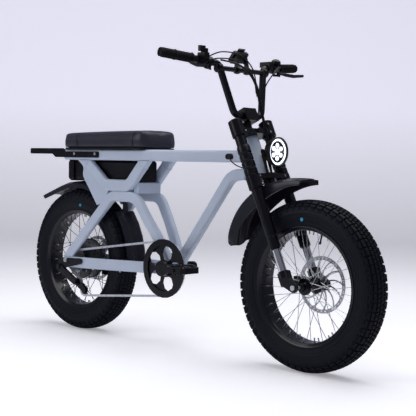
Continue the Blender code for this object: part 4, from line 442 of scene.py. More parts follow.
def rear_view(y, z, x):
    return at(x, y, z)


def hull(points):
    """The outermost points, in order."""
    ordered = sorted({(round(x, 4), round(y, 4)) for x, y in points})
    outline = []
    for run in (ordered, ordered[::-1]):
        edge = []
        for point in run:
            while len(edge) > 1 and turn_of(edge[-2], edge[-1], point) <= 0:
                edge.pop()
            edge.append(point)
        outline += edge[:-1]
    return outline


def turn_of(a, b, c):
    """Over zero where the way from a over b to c turns left."""
    return (b[0] - a[0]) * (c[1] - a[1]) - (b[1] - a[1]) * (c[0] - a[0])


def smooth_curve(points, per_span=8):
    """A smooth run of values through given ones."""
    places = [Vector(p) for p in points]
    places = [2 * places[0] - places[1], *places, 2 * places[-1] - places[-2]]
    result = []
    for k in range(1, len(places) - 2):
        before, start, end, after = places[k - 1:k + 3]
        for step in range(per_span):
            t = step / per_span
            bend = (2 * before - 5 * start + 4 * end - after) * t * t
            twist = (3 * start - before - 3 * end + after) * t ** 3
            result.append((2 * start + (end - before) * t + bend + twist) / 2)
    result.append(places[-2])
    return result


def body_of(node):
    return NODES[node]["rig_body"]


def plain_mesh(name, shapes, merged=False):
    """A mesh of several closed shells with their faces turned outwards."""
    points, faces = together(shapes)
    mesh = bpy.data.meshes.new(name)
    mesh.from_pydata(points, [], faces)
    shell = bmesh.new()
    shell.from_mesh(mesh)
    if merged:
        bmesh.ops.remove_doubles(shell, verts=shell.verts, dist=SHELL_MERGE_DISTANCE)
    bmesh.ops.recalc_face_normals(shell, faces=shell.faces)
    shell.to_mesh(mesh)
    shell.free()
    return mesh


def piece(name, shapes, finish_name, beside, nodes=(), edge=0.0, sharp=SHARP_ANGLE):
    """One named piece of several closed shells. It rides with the node named beside."""
    mesh = plain_mesh(name, shapes, merged=True)
    mesh.materials.append(finish(finish_name))
    thing = add_object(name, mesh)
    if edge:
        round_edges(thing, edge)
    smooth(mesh, sharp)
    settle(thing, beside, nodes)
    return thing


def round_edges(thing, width):
    rounding = thing.modifiers.new("Rounded edges", "BEVEL")
    rounding.width = width * MM
    rounding.segments = EDGE_SEGMENTS
    rounding.limit_method = "ANGLE"
    rounding.angle_limit = SHARP_ANGLE
    rounding.harden_normals = True


def settle(thing, beside, nodes=()):
    """Gives a piece its body, and hides the CAD nodes that it stands for."""
    if nodes:
        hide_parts(*nodes)
    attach(thing, body_of(beside))


def dress(node, finish_name, edge=0.7):
    """Stands for a CAD node with a copy whose edges are softly rounded."""
    mesh = NODES[node].data.copy()
    mesh.materials.clear()
    shell = bmesh.new()
    shell.from_mesh(mesh)
    bmesh.ops.remove_doubles(shell, verts=shell.verts, dist=MERGE_DISTANCE)
    bmesh.ops.dissolve_limit(shell, angle_limit=FLAT_ANGLE, verts=shell.verts, edges=shell.edges)
    shell.to_mesh(mesh)
    shell.free()
    mesh.materials.append(finish(finish_name))
    thing = add_object(f"{node}_finish", mesh)
    if edge > 0.0:
        round_edges(thing, edge)
    smooth(mesh)
    settle(thing, node, (node,))
    return thing


# Geometry node trees for what repeats
def new_tree(name, sockets):
    tree = bpy.data.node_groups.new(name, "GeometryNodeTree")
    tree.interface.new_socket("Geometry", in_out="INPUT", socket_type="NodeSocketGeometry")
    for label, kind, value in sockets:
        made = tree.interface.new_socket(label, in_out="INPUT", socket_type=kind)
        if value is not None:
            made.default_value = value
    tree.interface.new_socket("Geometry", in_out="OUTPUT", socket_type="NodeSocketGeometry")
    return tree


def end_tree(tree, start, instances):
    """Ends a tree: the copies become plain mesh with the chosen material."""
    real = tree.nodes.new("GeometryNodeRealizeInstances")
    paint = tree.nodes.new("GeometryNodeSetMaterial")
    end = tree.nodes.new("NodeGroupOutput")
    tree.links.new(instances, real.inputs["Geometry"])
    tree.links.new(real.outputs["Geometry"], paint.inputs["Geometry"])
    tree.links.new(start.outputs["Material"], paint.inputs["Material"])
    tree.links.new(paint.outputs["Geometry"], end.inputs["Geometry"])


def ring_tree():
    """Copies of a mesh, turned in even steps about an axis along Y through a centre."""
    found = bpy.data.node_groups.get("Ring of copies")
    if found:
        return found
    tree = new_tree("Ring of copies", (
        ("Copies", "NodeSocketInt", 12),
        ("Centre", "NodeSocketVector", None),
        ("Material", "NodeSocketMaterial", None),
    ))
    start = tree.nodes.new("NodeGroupInput")
    dots = tree.nodes.new("GeometryNodePoints")
    index = tree.nodes.new("GeometryNodeInputIndex")
    turn = add_node(tree, "ShaderNodeMath")
    turn.operation = "DIVIDE"
    full = add_node(tree, "ShaderNodeMath")
    full.operation = "MULTIPLY"
    full.inputs[1].default_value = math.tau
    spin = tree.nodes.new("ShaderNodeCombineXYZ")
    copies = tree.nodes.new("GeometryNodeInstanceOnPoints")
    tree.links.new(start.outputs["Copies"], dots.inputs["Count"])
    tree.links.new(start.outputs["Centre"], dots.inputs["Position"])
    tree.links.new(index.outputs["Index"], turn.inputs[0])
    tree.links.new(start.outputs["Copies"], turn.inputs[1])
    tree.links.new(turn.outputs["Value"], full.inputs[0])
    tree.links.new(full.outputs["Value"], spin.inputs["Y"])
    tree.links.new(dots.outputs["Points"], copies.inputs["Points"])
    tree.links.new(start.outputs["Geometry"], copies.inputs["Instance"])
    tree.links.new(spin.outputs["Vector"], copies.inputs["Rotation"])
    end_tree(tree, start, copies.outputs["Instances"])
    return tree


def places_tree():
    """Copies of another object's mesh on points, each turned by the points' own turn attribute."""
    found = bpy.data.node_groups.get("Copies on places")
    if found:
        return found
    tree = new_tree("Copies on places", (
        ("Pattern", "NodeSocketObject", None),
        ("Material", "NodeSocketMaterial", None),
    ))
    start = tree.nodes.new("NodeGroupInput")
    pattern = tree.nodes.new("GeometryNodeObjectInfo")
    turn = tree.nodes.new("GeometryNodeInputNamedAttribute")
    turn.data_type = "FLOAT_VECTOR"
    turn.inputs["Name"].default_value = "turn"
    copies = tree.nodes.new("GeometryNodeInstanceOnPoints")
    tree.links.new(start.outputs["Pattern"], pattern.inputs["Object"])
    tree.links.new(start.outputs["Geometry"], copies.inputs["Points"])
    tree.links.new(pattern.outputs["Geometry"], copies.inputs["Instance"])
    tree.links.new(turn.outputs["Attribute"], copies.inputs["Rotation"])
    end_tree(tree, start, copies.outputs["Instances"])
    return tree


def socket_id(tree, label):
    for item in tree.interface.items_tree:
        if item.name == label and item.in_out == "INPUT":
            return item.identifier
    raise RuntimeError(f"{tree.name} has no input {label}")


def run_tree(name, mesh, tree, values, beside):
    """Runs a tree on a mesh and keeps the plain mesh that comes out."""
    thing = add_object(name, mesh)
    step = thing.modifiers.new(tree.name, "NODES")
    step.node_group = tree
    for label, value in values.items():
        step[socket_id(tree, label)] = value
    thing.update_tag()
    bpy.context.view_layer.update()
    made = bpy.data.meshes.new_from_object(thing.evaluated_get(bpy.context.evaluated_depsgraph_get()))
    if len(made.polygons) == 0:
        raise RuntimeError(f"{name}: the tree gave no faces")
    thing.modifiers.clear()
    thing.data = made
    smooth(made)
    settle(thing, beside)
    return thing


def ring(name, shapes, count, centre, finish_name, beside):
    """Shapes built round the origin, repeated round an axle."""
    values = {"Copies": count, "Centre": tuple(centre), "Material": finish(finish_name)}
    return run_tree(name, plain_mesh(name, shapes), ring_tree(), values, beside)


def scatter(name, shapes, places, finish_name, beside):
    """Shapes built round the origin along Z, repeated at (place, direction or turn) pairs."""
    pattern = add_object(f"{name}_pattern", plain_mesh(f"{name}_pattern", shapes))
    dots = bpy.data.meshes.new(name)
    dots.from_pydata([place for place, _ in places], [], [])
    turns = dots.attributes.new("turn", "FLOAT_VECTOR", "POINT")
    for k, (_, direction) in enumerate(places):
        if isinstance(direction, Vector):
            direction = direction.to_track_quat("Z", "Y").to_euler()
        turns.data[k].vector = tuple(direction)
    values = {"Pattern": pattern, "Material": finish(finish_name)}
    made = run_tree(name, dots, places_tree(), values, beside)
    bpy.data.objects.remove(pattern)
    return made


def cable(name, route, diameter, beside, finish_name="cable_rubber", nodes=()):
    """A thin round cable on a smooth curve through its own places."""
    places = smooth_curve(route, 6)
    curve = bpy.data.curves.new(name, "CURVE")
    curve.dimensions = "3D"
    curve.bevel_depth = diameter / 2 * MM
    curve.bevel_resolution = CABLE_RING_STEPS
    curve.use_fill_caps = True
    line = curve.splines.new("POLY")
    line.points.add(len(places) - 1)
    for point, place in zip(line.points, places):
        point.co = (*place, 1.0)
    line.use_smooth = True
    curve.materials.append(finish(finish_name))
    thing = add_object(name, curve)
    settle(thing, beside, nodes)
    return thing


# A bolt's round head with its socket, as shares of its height and of its radius
BOLT_PROFILE = ((0.0, 0.95), (0.15, 1.0), (0.8, 1.0), (1.0, 0.85), (1.0, 0.5), (0.45, 0.48))


def hex_bolt(radius, height):
    """A round socket head with its recess, standing on the origin."""
    profile = [(height * along, radius * out) for along, out in BOLT_PROFILE]
    return turned(profile, (0.0, 0.0, 0.0), Z_AXIS, 12)


def round_axle(angle, radius, y=0.0):
    """An offset from an axle, at an angle up from straight ahead, a radius and a distance to the left."""
    return Vector((radius * math.cos(angle), y, radius * math.sin(angle))) * MM


def both_halves(half):
    """A profile of (side, radius) pairs, followed by its mirror image."""
    return list(half) + [(-y, r) for y, r in reversed(half)]


# Tyres
WHEEL_SIDES = 128
TYRE_HALF = (
    (30.0, 204.5), (36.0, 203.6), (37.4, 210.0), (39.2, 214.0), (39.0, 216.5), (42.3, 223.0), (45.6, 232.0),
    (47.4, 242.0), (47.6, 250.0), (48.2, 252.0), (47.4, 254.0), (46.4, 262.0), (43.6, 272.0), (39.0, 280.5),
    (31.0, 287.2), (19.0, 290.8), (6.0, 292.4),
)
TYRE_SHARP = math.radians(50)
# Each block: length round the tyre, width, height, distance from the middle, base radius, outward lean
CENTRE_BLOCK = (12.6, 14.0, 5.4, 0.0, 291.3, 0.0)
INNER_BLOCK = (12.4, 14.0, 5.6, 17.2, 290.0, 0.14)
SHOULDER_BLOCKS = (
    (25.6, 12.6, 6.2, 31.4, 285.6, 0.45),
    (24.0, 11.0, 4.6, 41.0, 277.8, 0.85),
    (17.0, 11.0, 2.0, 45.0, 267.0, 1.25),
)
BLOCK_SUNK, BLOCK_ROUND = 2.5, 1.0
BLOCK_DRAWN_IN = (0.0, 0.72, 2.0)
TYRE_RINGS = ((43.6, 226.0), (46.4, 237.0), (47.2, 247.0))
RING_SECTION = ((0.0, -1.2), (1.1, 0.0), (0.0, 1.2), (-1.5, 0.0))
DOT_ANGLES = {"front": math.radians(92), "rear": math.radians(85)}
DOT_RADIUS, DOT_SIDE = 229.5, -45.6
DOT_PROFILE = ((0.0, 6.5), (1.2, 6.0))


def tread_block(block, side=1, turn=0.0):
    """One tread block built round the origin, on either side, turned about the axle."""
    length, width, height, y, radius, tilt = block
    y, tilt = y * side, tilt * side
    rows = []
    for level, shrink in zip((-BLOCK_SUNK, height - BLOCK_ROUND, height), BLOCK_DRAWN_IN):
        row = []
        for a, b in ((-1, -1), (1, -1), (1, 1), (-1, 1)):
            along = a * (length / 2 - shrink)
            beside = b * (width / 2 - shrink)
            across = beside * math.cos(tilt) + level * math.sin(tilt)
            up = level * math.cos(tilt) - beside * math.sin(tilt)
            row.append(round_axle(math.pi / 2 - turn - along / radius, radius + up, y + across))
        rows.append(row)
    return skin(rows)


def make_tyre(name, axle):
    node = f"{name}_tyre"
    casing = turned(both_halves(TYRE_HALF), axle, Y_AXIS, WHEEL_SIDES, closed=True)
    piece(f"{name}_tyre_casing", [casing], "tyre_rubber", node, (node,), sharp=TYRE_SHARP)
    rows = bpy.context.scene.bike_detail.tread_rows
    quarter = math.tau / rows / 4
    blocks = []
    for turn in (-quarter, quarter):
        blocks.append(tread_block(CENTRE_BLOCK, turn=turn))
        blocks += [tread_block(INNER_BLOCK, side, turn + quarter) for side in (1, -1)]
    for side in (1, -1):
        blocks += [tread_block(block, side, quarter) for block in SHOULDER_BLOCKS]
    ring(f"{name}_tread", blocks, rows, axle, "tread_rubber", node)
    ridges = []
    for side in (1, -1):
        for y, radius in TYRE_RINGS:
            loop = [(side * (y + dy), radius + dr) for dy, dr in RING_SECTION]
            ridges.append(turned(loop, axle, Y_AXIS, WHEEL_SIDES, closed=True))
    piece(f"{name}_tyre_rings", ridges, "tyre_rubber", node)
    spot = axle + round_axle(DOT_ANGLES[name], DOT_RADIUS, DOT_SIDE)
    piece(f"{name}_tyre_dot", [turned(DOT_PROFILE, spot, -Y_AXIS, 20)], "pale_mark", node)


# Rims and spokes
RIM_OUTER = (
    (40.0, 207.2), (39.4, 208.0), (38.0, 207.4), (37.0, 203.2), (22.0, 202.6), (16.0, 199.0), (0.0, 198.2),
)
RIM_INNER = ((39.6, 204.6), (37.2, 200.6), (33.5, 194.0), (30.6, 192.3), (12.0, 191.8), (0.0, 191.6))
RIM_SHARP = math.radians(28)
NIPPLE_SEAT, NIPPLE_TIP = (191.8, 9.0), (177.415, 9.45)
NIPPLE_RADIUS = 2.6
VALVE_ANGLE = math.radians(76)
VALVE_SEAT = 190.0
VALVE_PROFILE = ((0.0, 6.0), (3.0, 6.0), (3.0, 3.0), (30.0, 3.0), (30.0, 4.0), (38.0, 4.0), (40.0, 2.6))
SPOKE_RADIUS = 1.15
SPOKE_END_RADIUS = 191.0
SPOKE_LACING = math.radians(48)
SPOKE_SPREAD = 2.2
# Node, radius of the spoke holes, their distances to the left, and the spokes' finish
SPOKED_HUBS = {
    "front": ("front_hub", 25.0, (-32.0, 30.0), "bare_steel"),
    "rear": ("rear_hub_motor", 80.0, (-20.0, 32.0), "black_alloy"),
}


def make_rim(name, axle):
    node = f"{name}_rim"
    outline = list(RIM_OUTER) + [(-y, r) for y, r in reversed(RIM_OUTER[:-1])]
    outline += [(-y, r) for y, r in RIM_INNER] + list(reversed(RIM_INNER[:-1]))
    piece(f"{name}_rim_alloy", [turned(outline, axle, Y_AXIS, WHEEL_SIDES, closed=True)], "rim_alloy",
          node, (node,), sharp=RIM_SHARP)
    count = bpy.context.scene.bike_detail.spoke_groups * 4
    nipples = []
    for k, side in enumerate((1, -1)):
        turn = -math.tau * (k + 0.5) / count
        ends = [round_axle(turn, radius, side * y) for radius, y in (NIPPLE_SEAT, NIPPLE_TIP)]
        nipples.append(rod(*ends, NIPPLE_RADIUS, 8))
    ring(f"{name}_nipples", nipples, count // 2, axle, "bare_steel", node)
    seat = round_axle(VALVE_ANGLE, VALVE_SEAT)
    valve = turned(VALVE_PROFILE, axle + seat, -seat, 16)
    piece(f"{name}_valve", [valve], "black_plastic", node)


def make_spokes(name, axle):
    node, hole_radius, flanges, finish_name = SPOKED_HUBS[name]
    groups = bpy.context.scene.bike_detail.spoke_groups
    spokes = []
    for k in range(4):
        lean = 1 if k > 1 else -1
        at_rim = math.tau * (k + 0.5) / (groups * 4)
        at_hub = at_rim + lean * SPOKE_LACING
        rim_side = NIPPLE_SEAT[1] if k % 2 else -NIPPLE_SEAT[1]
        start = round_axle(-at_hub, hole_radius, flanges[k % 2] + SPOKE_SPREAD * lean)
        end = round_axle(-at_rim, SPOKE_END_RADIUS, rim_side + SPOKE_SPREAD * lean)
        spokes.append(rod(start, end, SPOKE_RADIUS, 8))
    ring(f"{name}_spokes", spokes, groups, axle, finish_name, node)


# Hubs
FRONT_HUB = (
    (-58.0, 6.6), (-58.0, 11.0), (-57.0, 12.0), (-40.0, 13.2), (-37.0, 16.0), (-35.6, 28.0), (-34.6, 29.0),
    (-29.0, 29.0), (-28.0, 28.0), (-26.0, 18.0), (-20.0, 15.6), (0.0, 14.8), (18.0, 15.6), (24.0, 18.0),
    (26.6, 28.0), (27.6, 29.0), (33.0, 29.0), (34.0, 28.0), (35.0, 23.0), (62.0, 22.0), (63.6, 21.0),
    (63.6, 6.6),
)
MOTOR = (
    (-79.4, 6.6), (-79.4, 15.0), (-78.4, 16.0), (-42.0, 16.0), (-38.0, 20.0), (-30.0, 30.0), (-28.6, 34.0),
    (-28.4, 60.0), (-27.6, 70.0), (-25.0, 80.0), (-24.0, 83.4), (-23.0, 84.0), (-17.0, 84.0), (-16.0, 83.0),
    (-15.4, 78.4), (-10.0, 77.6), (22.0, 77.6), (27.6, 78.4), (28.4, 83.0), (29.4, 84.0), (35.0, 84.0),
    (36.2, 83.0), (41.0, 76.0), (44.4, 66.0), (45.6, 40.0), (46.2, 28.0), (48.0, 26.4), (68.4, 26.0),
    (68.6, 6.6),
)
MOTOR_SIDES = 96
MOTOR_BOLTS = 8
# Radius, distance to the left and way out of each ring of cover bolts
MOTOR_BOLT_RINGS = ((66.0, -28.4, -1), (58.0, 44.9, 1))
MOTOR_BOLT_HEAD = ((0.0, 4.0), (2.2, 4.0), (3.0, 3.2))
MOTOR_RIBS = ((38.0, 44.0), (50.0, 54.0))
MOTOR_RIB_BASE, MOTOR_RIB_TOP = 44.8, 46.3


def make_hubs():
    shell = turned(FRONT_HUB, FRONT_AXLE, Y_AXIS, 64, closed=True)
    piece("front_hub_shell", [shell], "black_alloy", "front_hub", ("front_hub",))
    motor = turned(MOTOR, REAR_AXLE, Y_AXIS, MOTOR_SIDES, closed=True)
    piece("motor_shell", [motor], "hub_alloy", "rear_hub_motor", ("rear_hub_motor",))
    bolts = []
    for radius, y, out in MOTOR_BOLT_RINGS:
        bolts.append(turned(MOTOR_BOLT_HEAD, round_axle(0.0, radius, y), Y_AXIS * out, 12))
    ring("motor_bolts", bolts, MOTOR_BOLTS, REAR_AXLE, "bare_steel", "rear_hub_motor")
    ribs = []
    for low, high in MOTOR_RIBS:
        loop = ((MOTOR_RIB_BASE, low), (MOTOR_RIB_TOP, low), (MOTOR_RIB_TOP, high), (MOTOR_RIB_BASE, high))
        ribs.append(turned(loop, REAR_AXLE, Y_AXIS, MOTOR_SIDES, closed=True))
    piece("motor_ribs", ribs, "hub_alloy", "rear_hub_motor")


# Brake discs
DISCS = (("front", FRONT_AXLE, 65.0, 100.0), ("rear", REAR_AXLE, 70.0, 94.0))
DISC_SIDES = 96
DISC_HALF, DISC_EDGE = 0.95, 0.3
DISC_CARRIER = (16.6, 25.0)
# Radii of the two brake bands, measured inwards from the disc's edge
DISC_BANDS = ((13.5, 8.5), (6.5, 0.0))
ARM_COUNT, ARM_STEPS, ARM_LEAN = 12, 8, 0.42
ARM_START, ARM_END_INSET = 24.0, 12.0
ARM_WAIST, ARM_FLARE = 5.0, 3.0
BRIDGE_COUNT, BRIDGE_HALF_TURN = 18, 0.045
BRIDGE_INSETS = (9.5, 5.5)
DISC_BOLTS, DISC_BOLT_RADIUS = 6, 21.0
DISC_BOLT_HEAD = ((0.0, 4.2), (2.4, 4.2), (3.0, 3.4))
CORNERS = ((-1, -1), (1, -1), (1, 1), (-1, 1))


def disc_arm(outer, y):
    """One curved arm of a brake disc, slimmer at its middle."""
    rows = []
    for k in range(ARM_STEPS + 1):
        share = k / ARM_STEPS
        radius = ARM_START + (outer - ARM_START) * share
        angle = ARM_LEAN * share ** 1.4
        half_turn = (ARM_WAIST + ARM_FLARE * abs(2 * share - 1) ** 3) / radius / 2
        rows.append([round_axle(-angle - a * half_turn, radius, y + b * DISC_HALF) for a, b in CORNERS])
    return skin(rows)


def disc_bridges(radius, y):
    """Two bridges between the brake bands of a disc."""
    bridges = []
    for side in (-1, 1):
        turn = 2 * side * BRIDGE_HALF_TURN
        bridges.append(skin([
            [round_axle(-turn - a * BRIDGE_HALF_TURN, radius - inset, y + b * DISC_HALF) for a, b in CORNERS]
            for inset in BRIDGE_INSETS
        ]))
    return bridges


def make_discs():
    for name, axle, y, radius in DISCS:
        node = f"{name}_disc"
        low_side, high_side = y - DISC_HALF, y + DISC_HALF
        shapes = []
        for low, high in (*[(radius - low, radius - high) for low, high in DISC_BANDS], DISC_CARRIER):
            loop = [(low_side, low), (high_side, low), (high_side, high - DISC_EDGE),
                    (high_side - DISC_EDGE, high), (low_side + DISC_EDGE, high), (low_side, high - DISC_EDGE)]
            shapes.append(turned(loop, axle, Y_AXIS, DISC_SIDES, closed=True))
        piece(f"{name}_rotor", shapes, "disc_steel", node, (node,))
        arm = disc_arm(radius - ARM_END_INSET, y)
        ring(f"{name}_rotor_arms", [arm], ARM_COUNT, axle, "disc_steel", node)
        links = disc_bridges(radius, y)
        ring(f"{name}_rotor_links", links, BRIDGE_COUNT, axle, "disc_steel", node)
        head = turned(DISC_BOLT_HEAD, round_axle(0.0, DISC_BOLT_RADIUS, high_side), Y_AXIS, 12)
        ring(f"{name}_rotor_bolts", [head], DISC_BOLTS, axle, "black_alloy", node)


def make_wheels():
    for name, axle in (("front", FRONT_AXLE), ("rear", REAR_AXLE)):
        make_tyre(name, axle)
        make_rim(name, axle)
        make_spokes(name, axle)
    make_hubs()
    make_discs()
    dress("front_axle", "bare_steel", 0.5)
    dress("rear_axle", "bare_steel", 0.5)


# Frame
RAIL_SIDE, RAIL_Z, RAIL_UNDERSIDE = 65.0, 737.0, 715.0
RAIL_REAR_X, RAIL_BEND_X, RAIL_FRONT_X, RAIL_FRONT_SIDE = -47.5, 440.0, 935.0, 21.0
RAIL_BOX = (30.0, 44.0, 10.0)
RAIL_CAP_BOX, RAIL_CAP_X = (27.0, 41.0, 8.5), (-48.5, -44.0)
DOWN_TUBE = ((565.0, 0.0, 312.5), (838.0, 0.0, 668.0), (950.0, 0.0, 677.0))
DOWN_TUBE_BOX, DOWN_TUBE_BEND = (32.0, 42.0, 10.0), 70.0
HEAD_TUBE = (
    (-97.6, 24.0), (-97.6, 26.6), (-95.0, 27.6), (-93.0, 26.4), (-92.4, 28.0), (-88.0, 29.0), (-84.0, 28.0),
    (45.0, 28.0), (49.0, 29.0), (53.4, 28.0), (54.0, 26.4), (56.0, 27.6), (58.6, 26.6), (58.6, 24.0),
)
CROSS_TUBE_X, CROSS_TUBE_RADIUS = (415.0, 690.0), 13.0
BOTTOM_SHELL_PLACE = (559.0, 0.0, 306.5)
BOTTOM_SHELL = ((-36.5, 11.0), (-36.5, 20.6), (-35.5, 21.9), (35.5, 21.9), (36.5, 20.6), (36.5, 11.0))
# Each weld: its place, the direction of the tube, and the tube's width and height there
DOWN_TUBE_WELDS = (
    ((912.0, 0.0, 673.5), (1.0, 0.0, 0.05), 33.0, 43.0),
    ((586.0, 0.0, 339.0), (0.61, 0.0, 0.79), 33.0, 43.0),
)
RAIL_WELD_PLACE, RAIL_WELD_ALONG, RAIL_WELD_SIZE = (917.0, 22.6), (0.996, -0.089), (31.0, 45.0)
WELD_RADIUS, WELD_CORNER, WELD_SWELL = 1.7, 10.5, 0.22
STRAP_OUTER = ((44.8, 631.2), (44.8, 731.0), (52.0, 731.0), (52.0, 638.5), (43.0, 628.0))
STRAP_FLOOR = ((-43.0, 629.8), (43.0, 629.8))
STRAP_X = (-47.0, -19.0)
PORT_BOX, PORT_PLACE, PORT_SIDE = (36.0, 21.0, 10.0), (860.0, 736.0), (-45.4, -38.0)
UPPER_LOOP = ((85.0, 711.9), (207.0, 615.5), (348.0, 615.5), (439.0, 714.0))
UPPER_LOOP_BOX, UPPER_LOOP_BEND, UPPER_LOOP_GAP = (28.0, 47.5, 9.5), 50.0, 0.3
ARCH = (
    (-2.0, 87.5, 311.7), (105.0, 77.8, 424.6), (246.0, 65.0, 572.0), (390.0, 65.0, 572.0),
    (449.0, 56.0, 485.0), (492.0, 44.0, 422.0), (555.0, 31.0, 313.5),
)
ARCH_BOX = (28.0, 42.0, 9.0)
ARCH_BENDS = (0.0, 0.0, 50.0, 70.0, 0.0, 0.0)
ARCH_FOOT_WIDTH, ARCH_END_SHARE, ARCH_END_Z = 0.5, 0.87, 323.2
GUSSET = (
    (34.0, 714.7), (58.0, 700.0), (70.0, 688.0), (72.5, 676.0), (69.0, 662.0), (71.0, 648.0), (82.0, 632.0),
    (105.0, 604.0), (161.0, 532.0), (200.0, 545.0), (230.0, 590.0), (190.0, 625.0), (98.0, 714.7),
)
GUSSET_SIDE = (56.0, 74.0)
SIDE_TIE_PLACE, SIDE_TIE_HALF, SIDE_TIE_RADIUS = (252.0, 573.0), 64.0, 11.0
SHELF_BOX, SHELF_PLACE, SHELF_HALF = (30.0, 43.5, 6.0), (382.0, 607.75), 59.0
LOOP_WELDS = (((100.0, 700.5), (0.79, 0.0, -0.62)), ((425.0, 699.0), (0.68, 0.0, 0.73)))
LOOP_WELD_SIZE = (29.0, 49.0)
STAY_SLOPE, STAY_START_X, STAY_Z = 0.0222, -24.0, 288.2
STAY_SIDES = ((-24.0, 88.0), (60.0, 88.0), (250.0, 72.0), (420.0, 48.0), (551.0, 30.0))
STAY_HEIGHTS = (45.0, 45.0, 45.0, 44.0, 43.0)
STAY_BOX = (14.0, 45.0, 5.5)
STAY_BRIDGE_PLACE, STAY_BRIDGE_HALF, STAY_BRIDGE_RADIUS = (352.0, 302.0), 58.0, 9.0
# Bosses under the chainstays, ahead of the rear axle and to the side
BOSSES = ((150.0, 80.421), (300.0, 64.941), (430.0, 46.588))
BOSS_DROP, BOSS_LENGTH, BOSS_RADIUS = 22.0, 4.5, 4.2
STAND_PLATE, STAND_PLATE_PLACE, STAND_PLATE_SIDE = (44.0, 42.0, 6.0), (40.0, 279.0), (92.0, 101.5)
STAND_PIN_PLACE, STAND_PIN_SIDE, STAND_PIN_RADIUS = (40.0, 264.0), (100.0, 120.5), 4.0
PAD_SIDE, PAD_Z, PAD_RADIUS = (80.6, 95.15), 297.0, 15.0


def on_side(side, places):
    return [at(x, y * side, z) for x, y, z in places]


def between(left, right, place, radius, sides, edge=0.0):
    """A round bar across the bike at an (x, z) place, between two distances to the left."""
    return rod(at(place[0], left, place[1]), at(place[0], right, place[1]), radius, sides, edge)


def bead(place, along, wide, tall):
    """A low weld bead round a box tube."""
    along = Vector(along).normalized()
    v = along.cross(Y_AXIS).normalized()
    section = circle(WELD_RADIUS, 8)
    rows = []
    for k, (a, b) in enumerate(rounded_rectangle(wide, tall, WELD_CORNER, 6)):
        offset = Y_AXIS * a + v * b
        out = offset.normalized()
        swell = 1.0 + WELD_SWELL * (k % 2)
        rows.append([place + (offset + (along * p + out * q) * swell) * MM for p, q in section])
    return skin(rows, closed=True)


def make_front_frame():
    shapes = []
    for side in (1, -1):
        path = on_side(side, ((RAIL_REAR_X, RAIL_SIDE, RAIL_Z), (RAIL_BEND_X, RAIL_SIDE, RAIL_Z),
                              (RAIL_FRONT_X, RAIL_FRONT_SIDE, RAIL_Z)))
        shapes.append(swept(path, rounded_rectangle(*RAIL_BOX, 6)))
        cap = on_side(side, [(x, RAIL_SIDE, RAIL_Z) for x in RAIL_CAP_X])
        shapes.append(swept(cap, rounded_rectangle(*RAIL_CAP_BOX, 6)))
    down = bent(on_side(1, DOWN_TUBE), DOWN_TUBE_BEND, 10)
    shapes.append(swept(down, rounded_rectangle(*DOWN_TUBE_BOX, 6)))
    shapes.append(turned(HEAD_TUBE, steering(0, 0, 0), STEER_UP, 64, closed=True))
    piece("main_frame", shapes, "frame_paint", "front_frame", ("front_frame",))
    crosses = []
    narrowing = (RAIL_SIDE - RAIL_FRONT_SIDE) / (RAIL_FRONT_X - RAIL_BEND_X)
    for x in CROSS_TUBE_X:
        y = RAIL_SIDE - narrowing * max(x - RAIL_BEND_X, 0.0)
        crosses.append(between(-y, y, (x, RAIL_Z), CROSS_TUBE_RADIUS, 32))
    crosses.append(turned(BOTTOM_SHELL, at(*BOTTOM_SHELL_PLACE), Y_AXIS, 48, closed=True))
    piece("frame_crossers", crosses, "frame_paint", "front_frame")
    beads = [bead(at(*place), along, wide, tall) for place, along, wide, tall in DOWN_TUBE_WELDS]
    for side in (1, -1):
        place = at(RAIL_WELD_PLACE[0], side * RAIL_WELD_PLACE[1], RAIL_Z)
        beads.append(bead(place, (RAIL_WELD_ALONG[0], side * RAIL_WELD_ALONG[1], 0.0), *RAIL_WELD_SIZE))
    piece("frame_welds", beads, "frame_paint", "front_frame")
    strap = both_halves(STRAP_OUTER) + list(STRAP_FLOOR)
    piece("battery_strap", [plate(strap, *STRAP_X, rear_view)], "black_alloy", "front_frame",
          edge=0.5)
    port = rounded_rectangle(*PORT_BOX, 6, PORT_PLACE)
    piece("rail_port", [plate(port, *PORT_SIDE, side_view)], "black_plastic", "front_frame",
          edge=1.2)


def side_arch():
    """The left arch from the dropout over the bridge to the bottom bracket, slimmer towards its rear foot."""
    path = bent(on_side(1, ARCH[:-1]), ARCH_BENDS, 8)
    foot, knee = at(*ARCH[0]), at(*ARCH[2])
    path.append(at(*ARCH[-2]).lerp(at(*ARCH[-1]), ARCH_END_SHARE))
    sizes = []
    for place in path:
        share = min(max((place.z - foot.z) / (knee.z - foot.z), 0.0), 1.0)
        width = ARCH_FOOT_WIDTH + (1 - ARCH_FOOT_WIDTH) * share
        sizes.append((width if place.x < knee.x else 1.0, 1.0))
    ends = ((foot, Vector((-STAY_SLOPE, 0, 1))), (at(0, 0, ARCH_END_Z), Z_AXIS))
    return swept(path, rounded_rectangle(*ARCH_BOX, 6), Y_AXIS, sizes, ends)


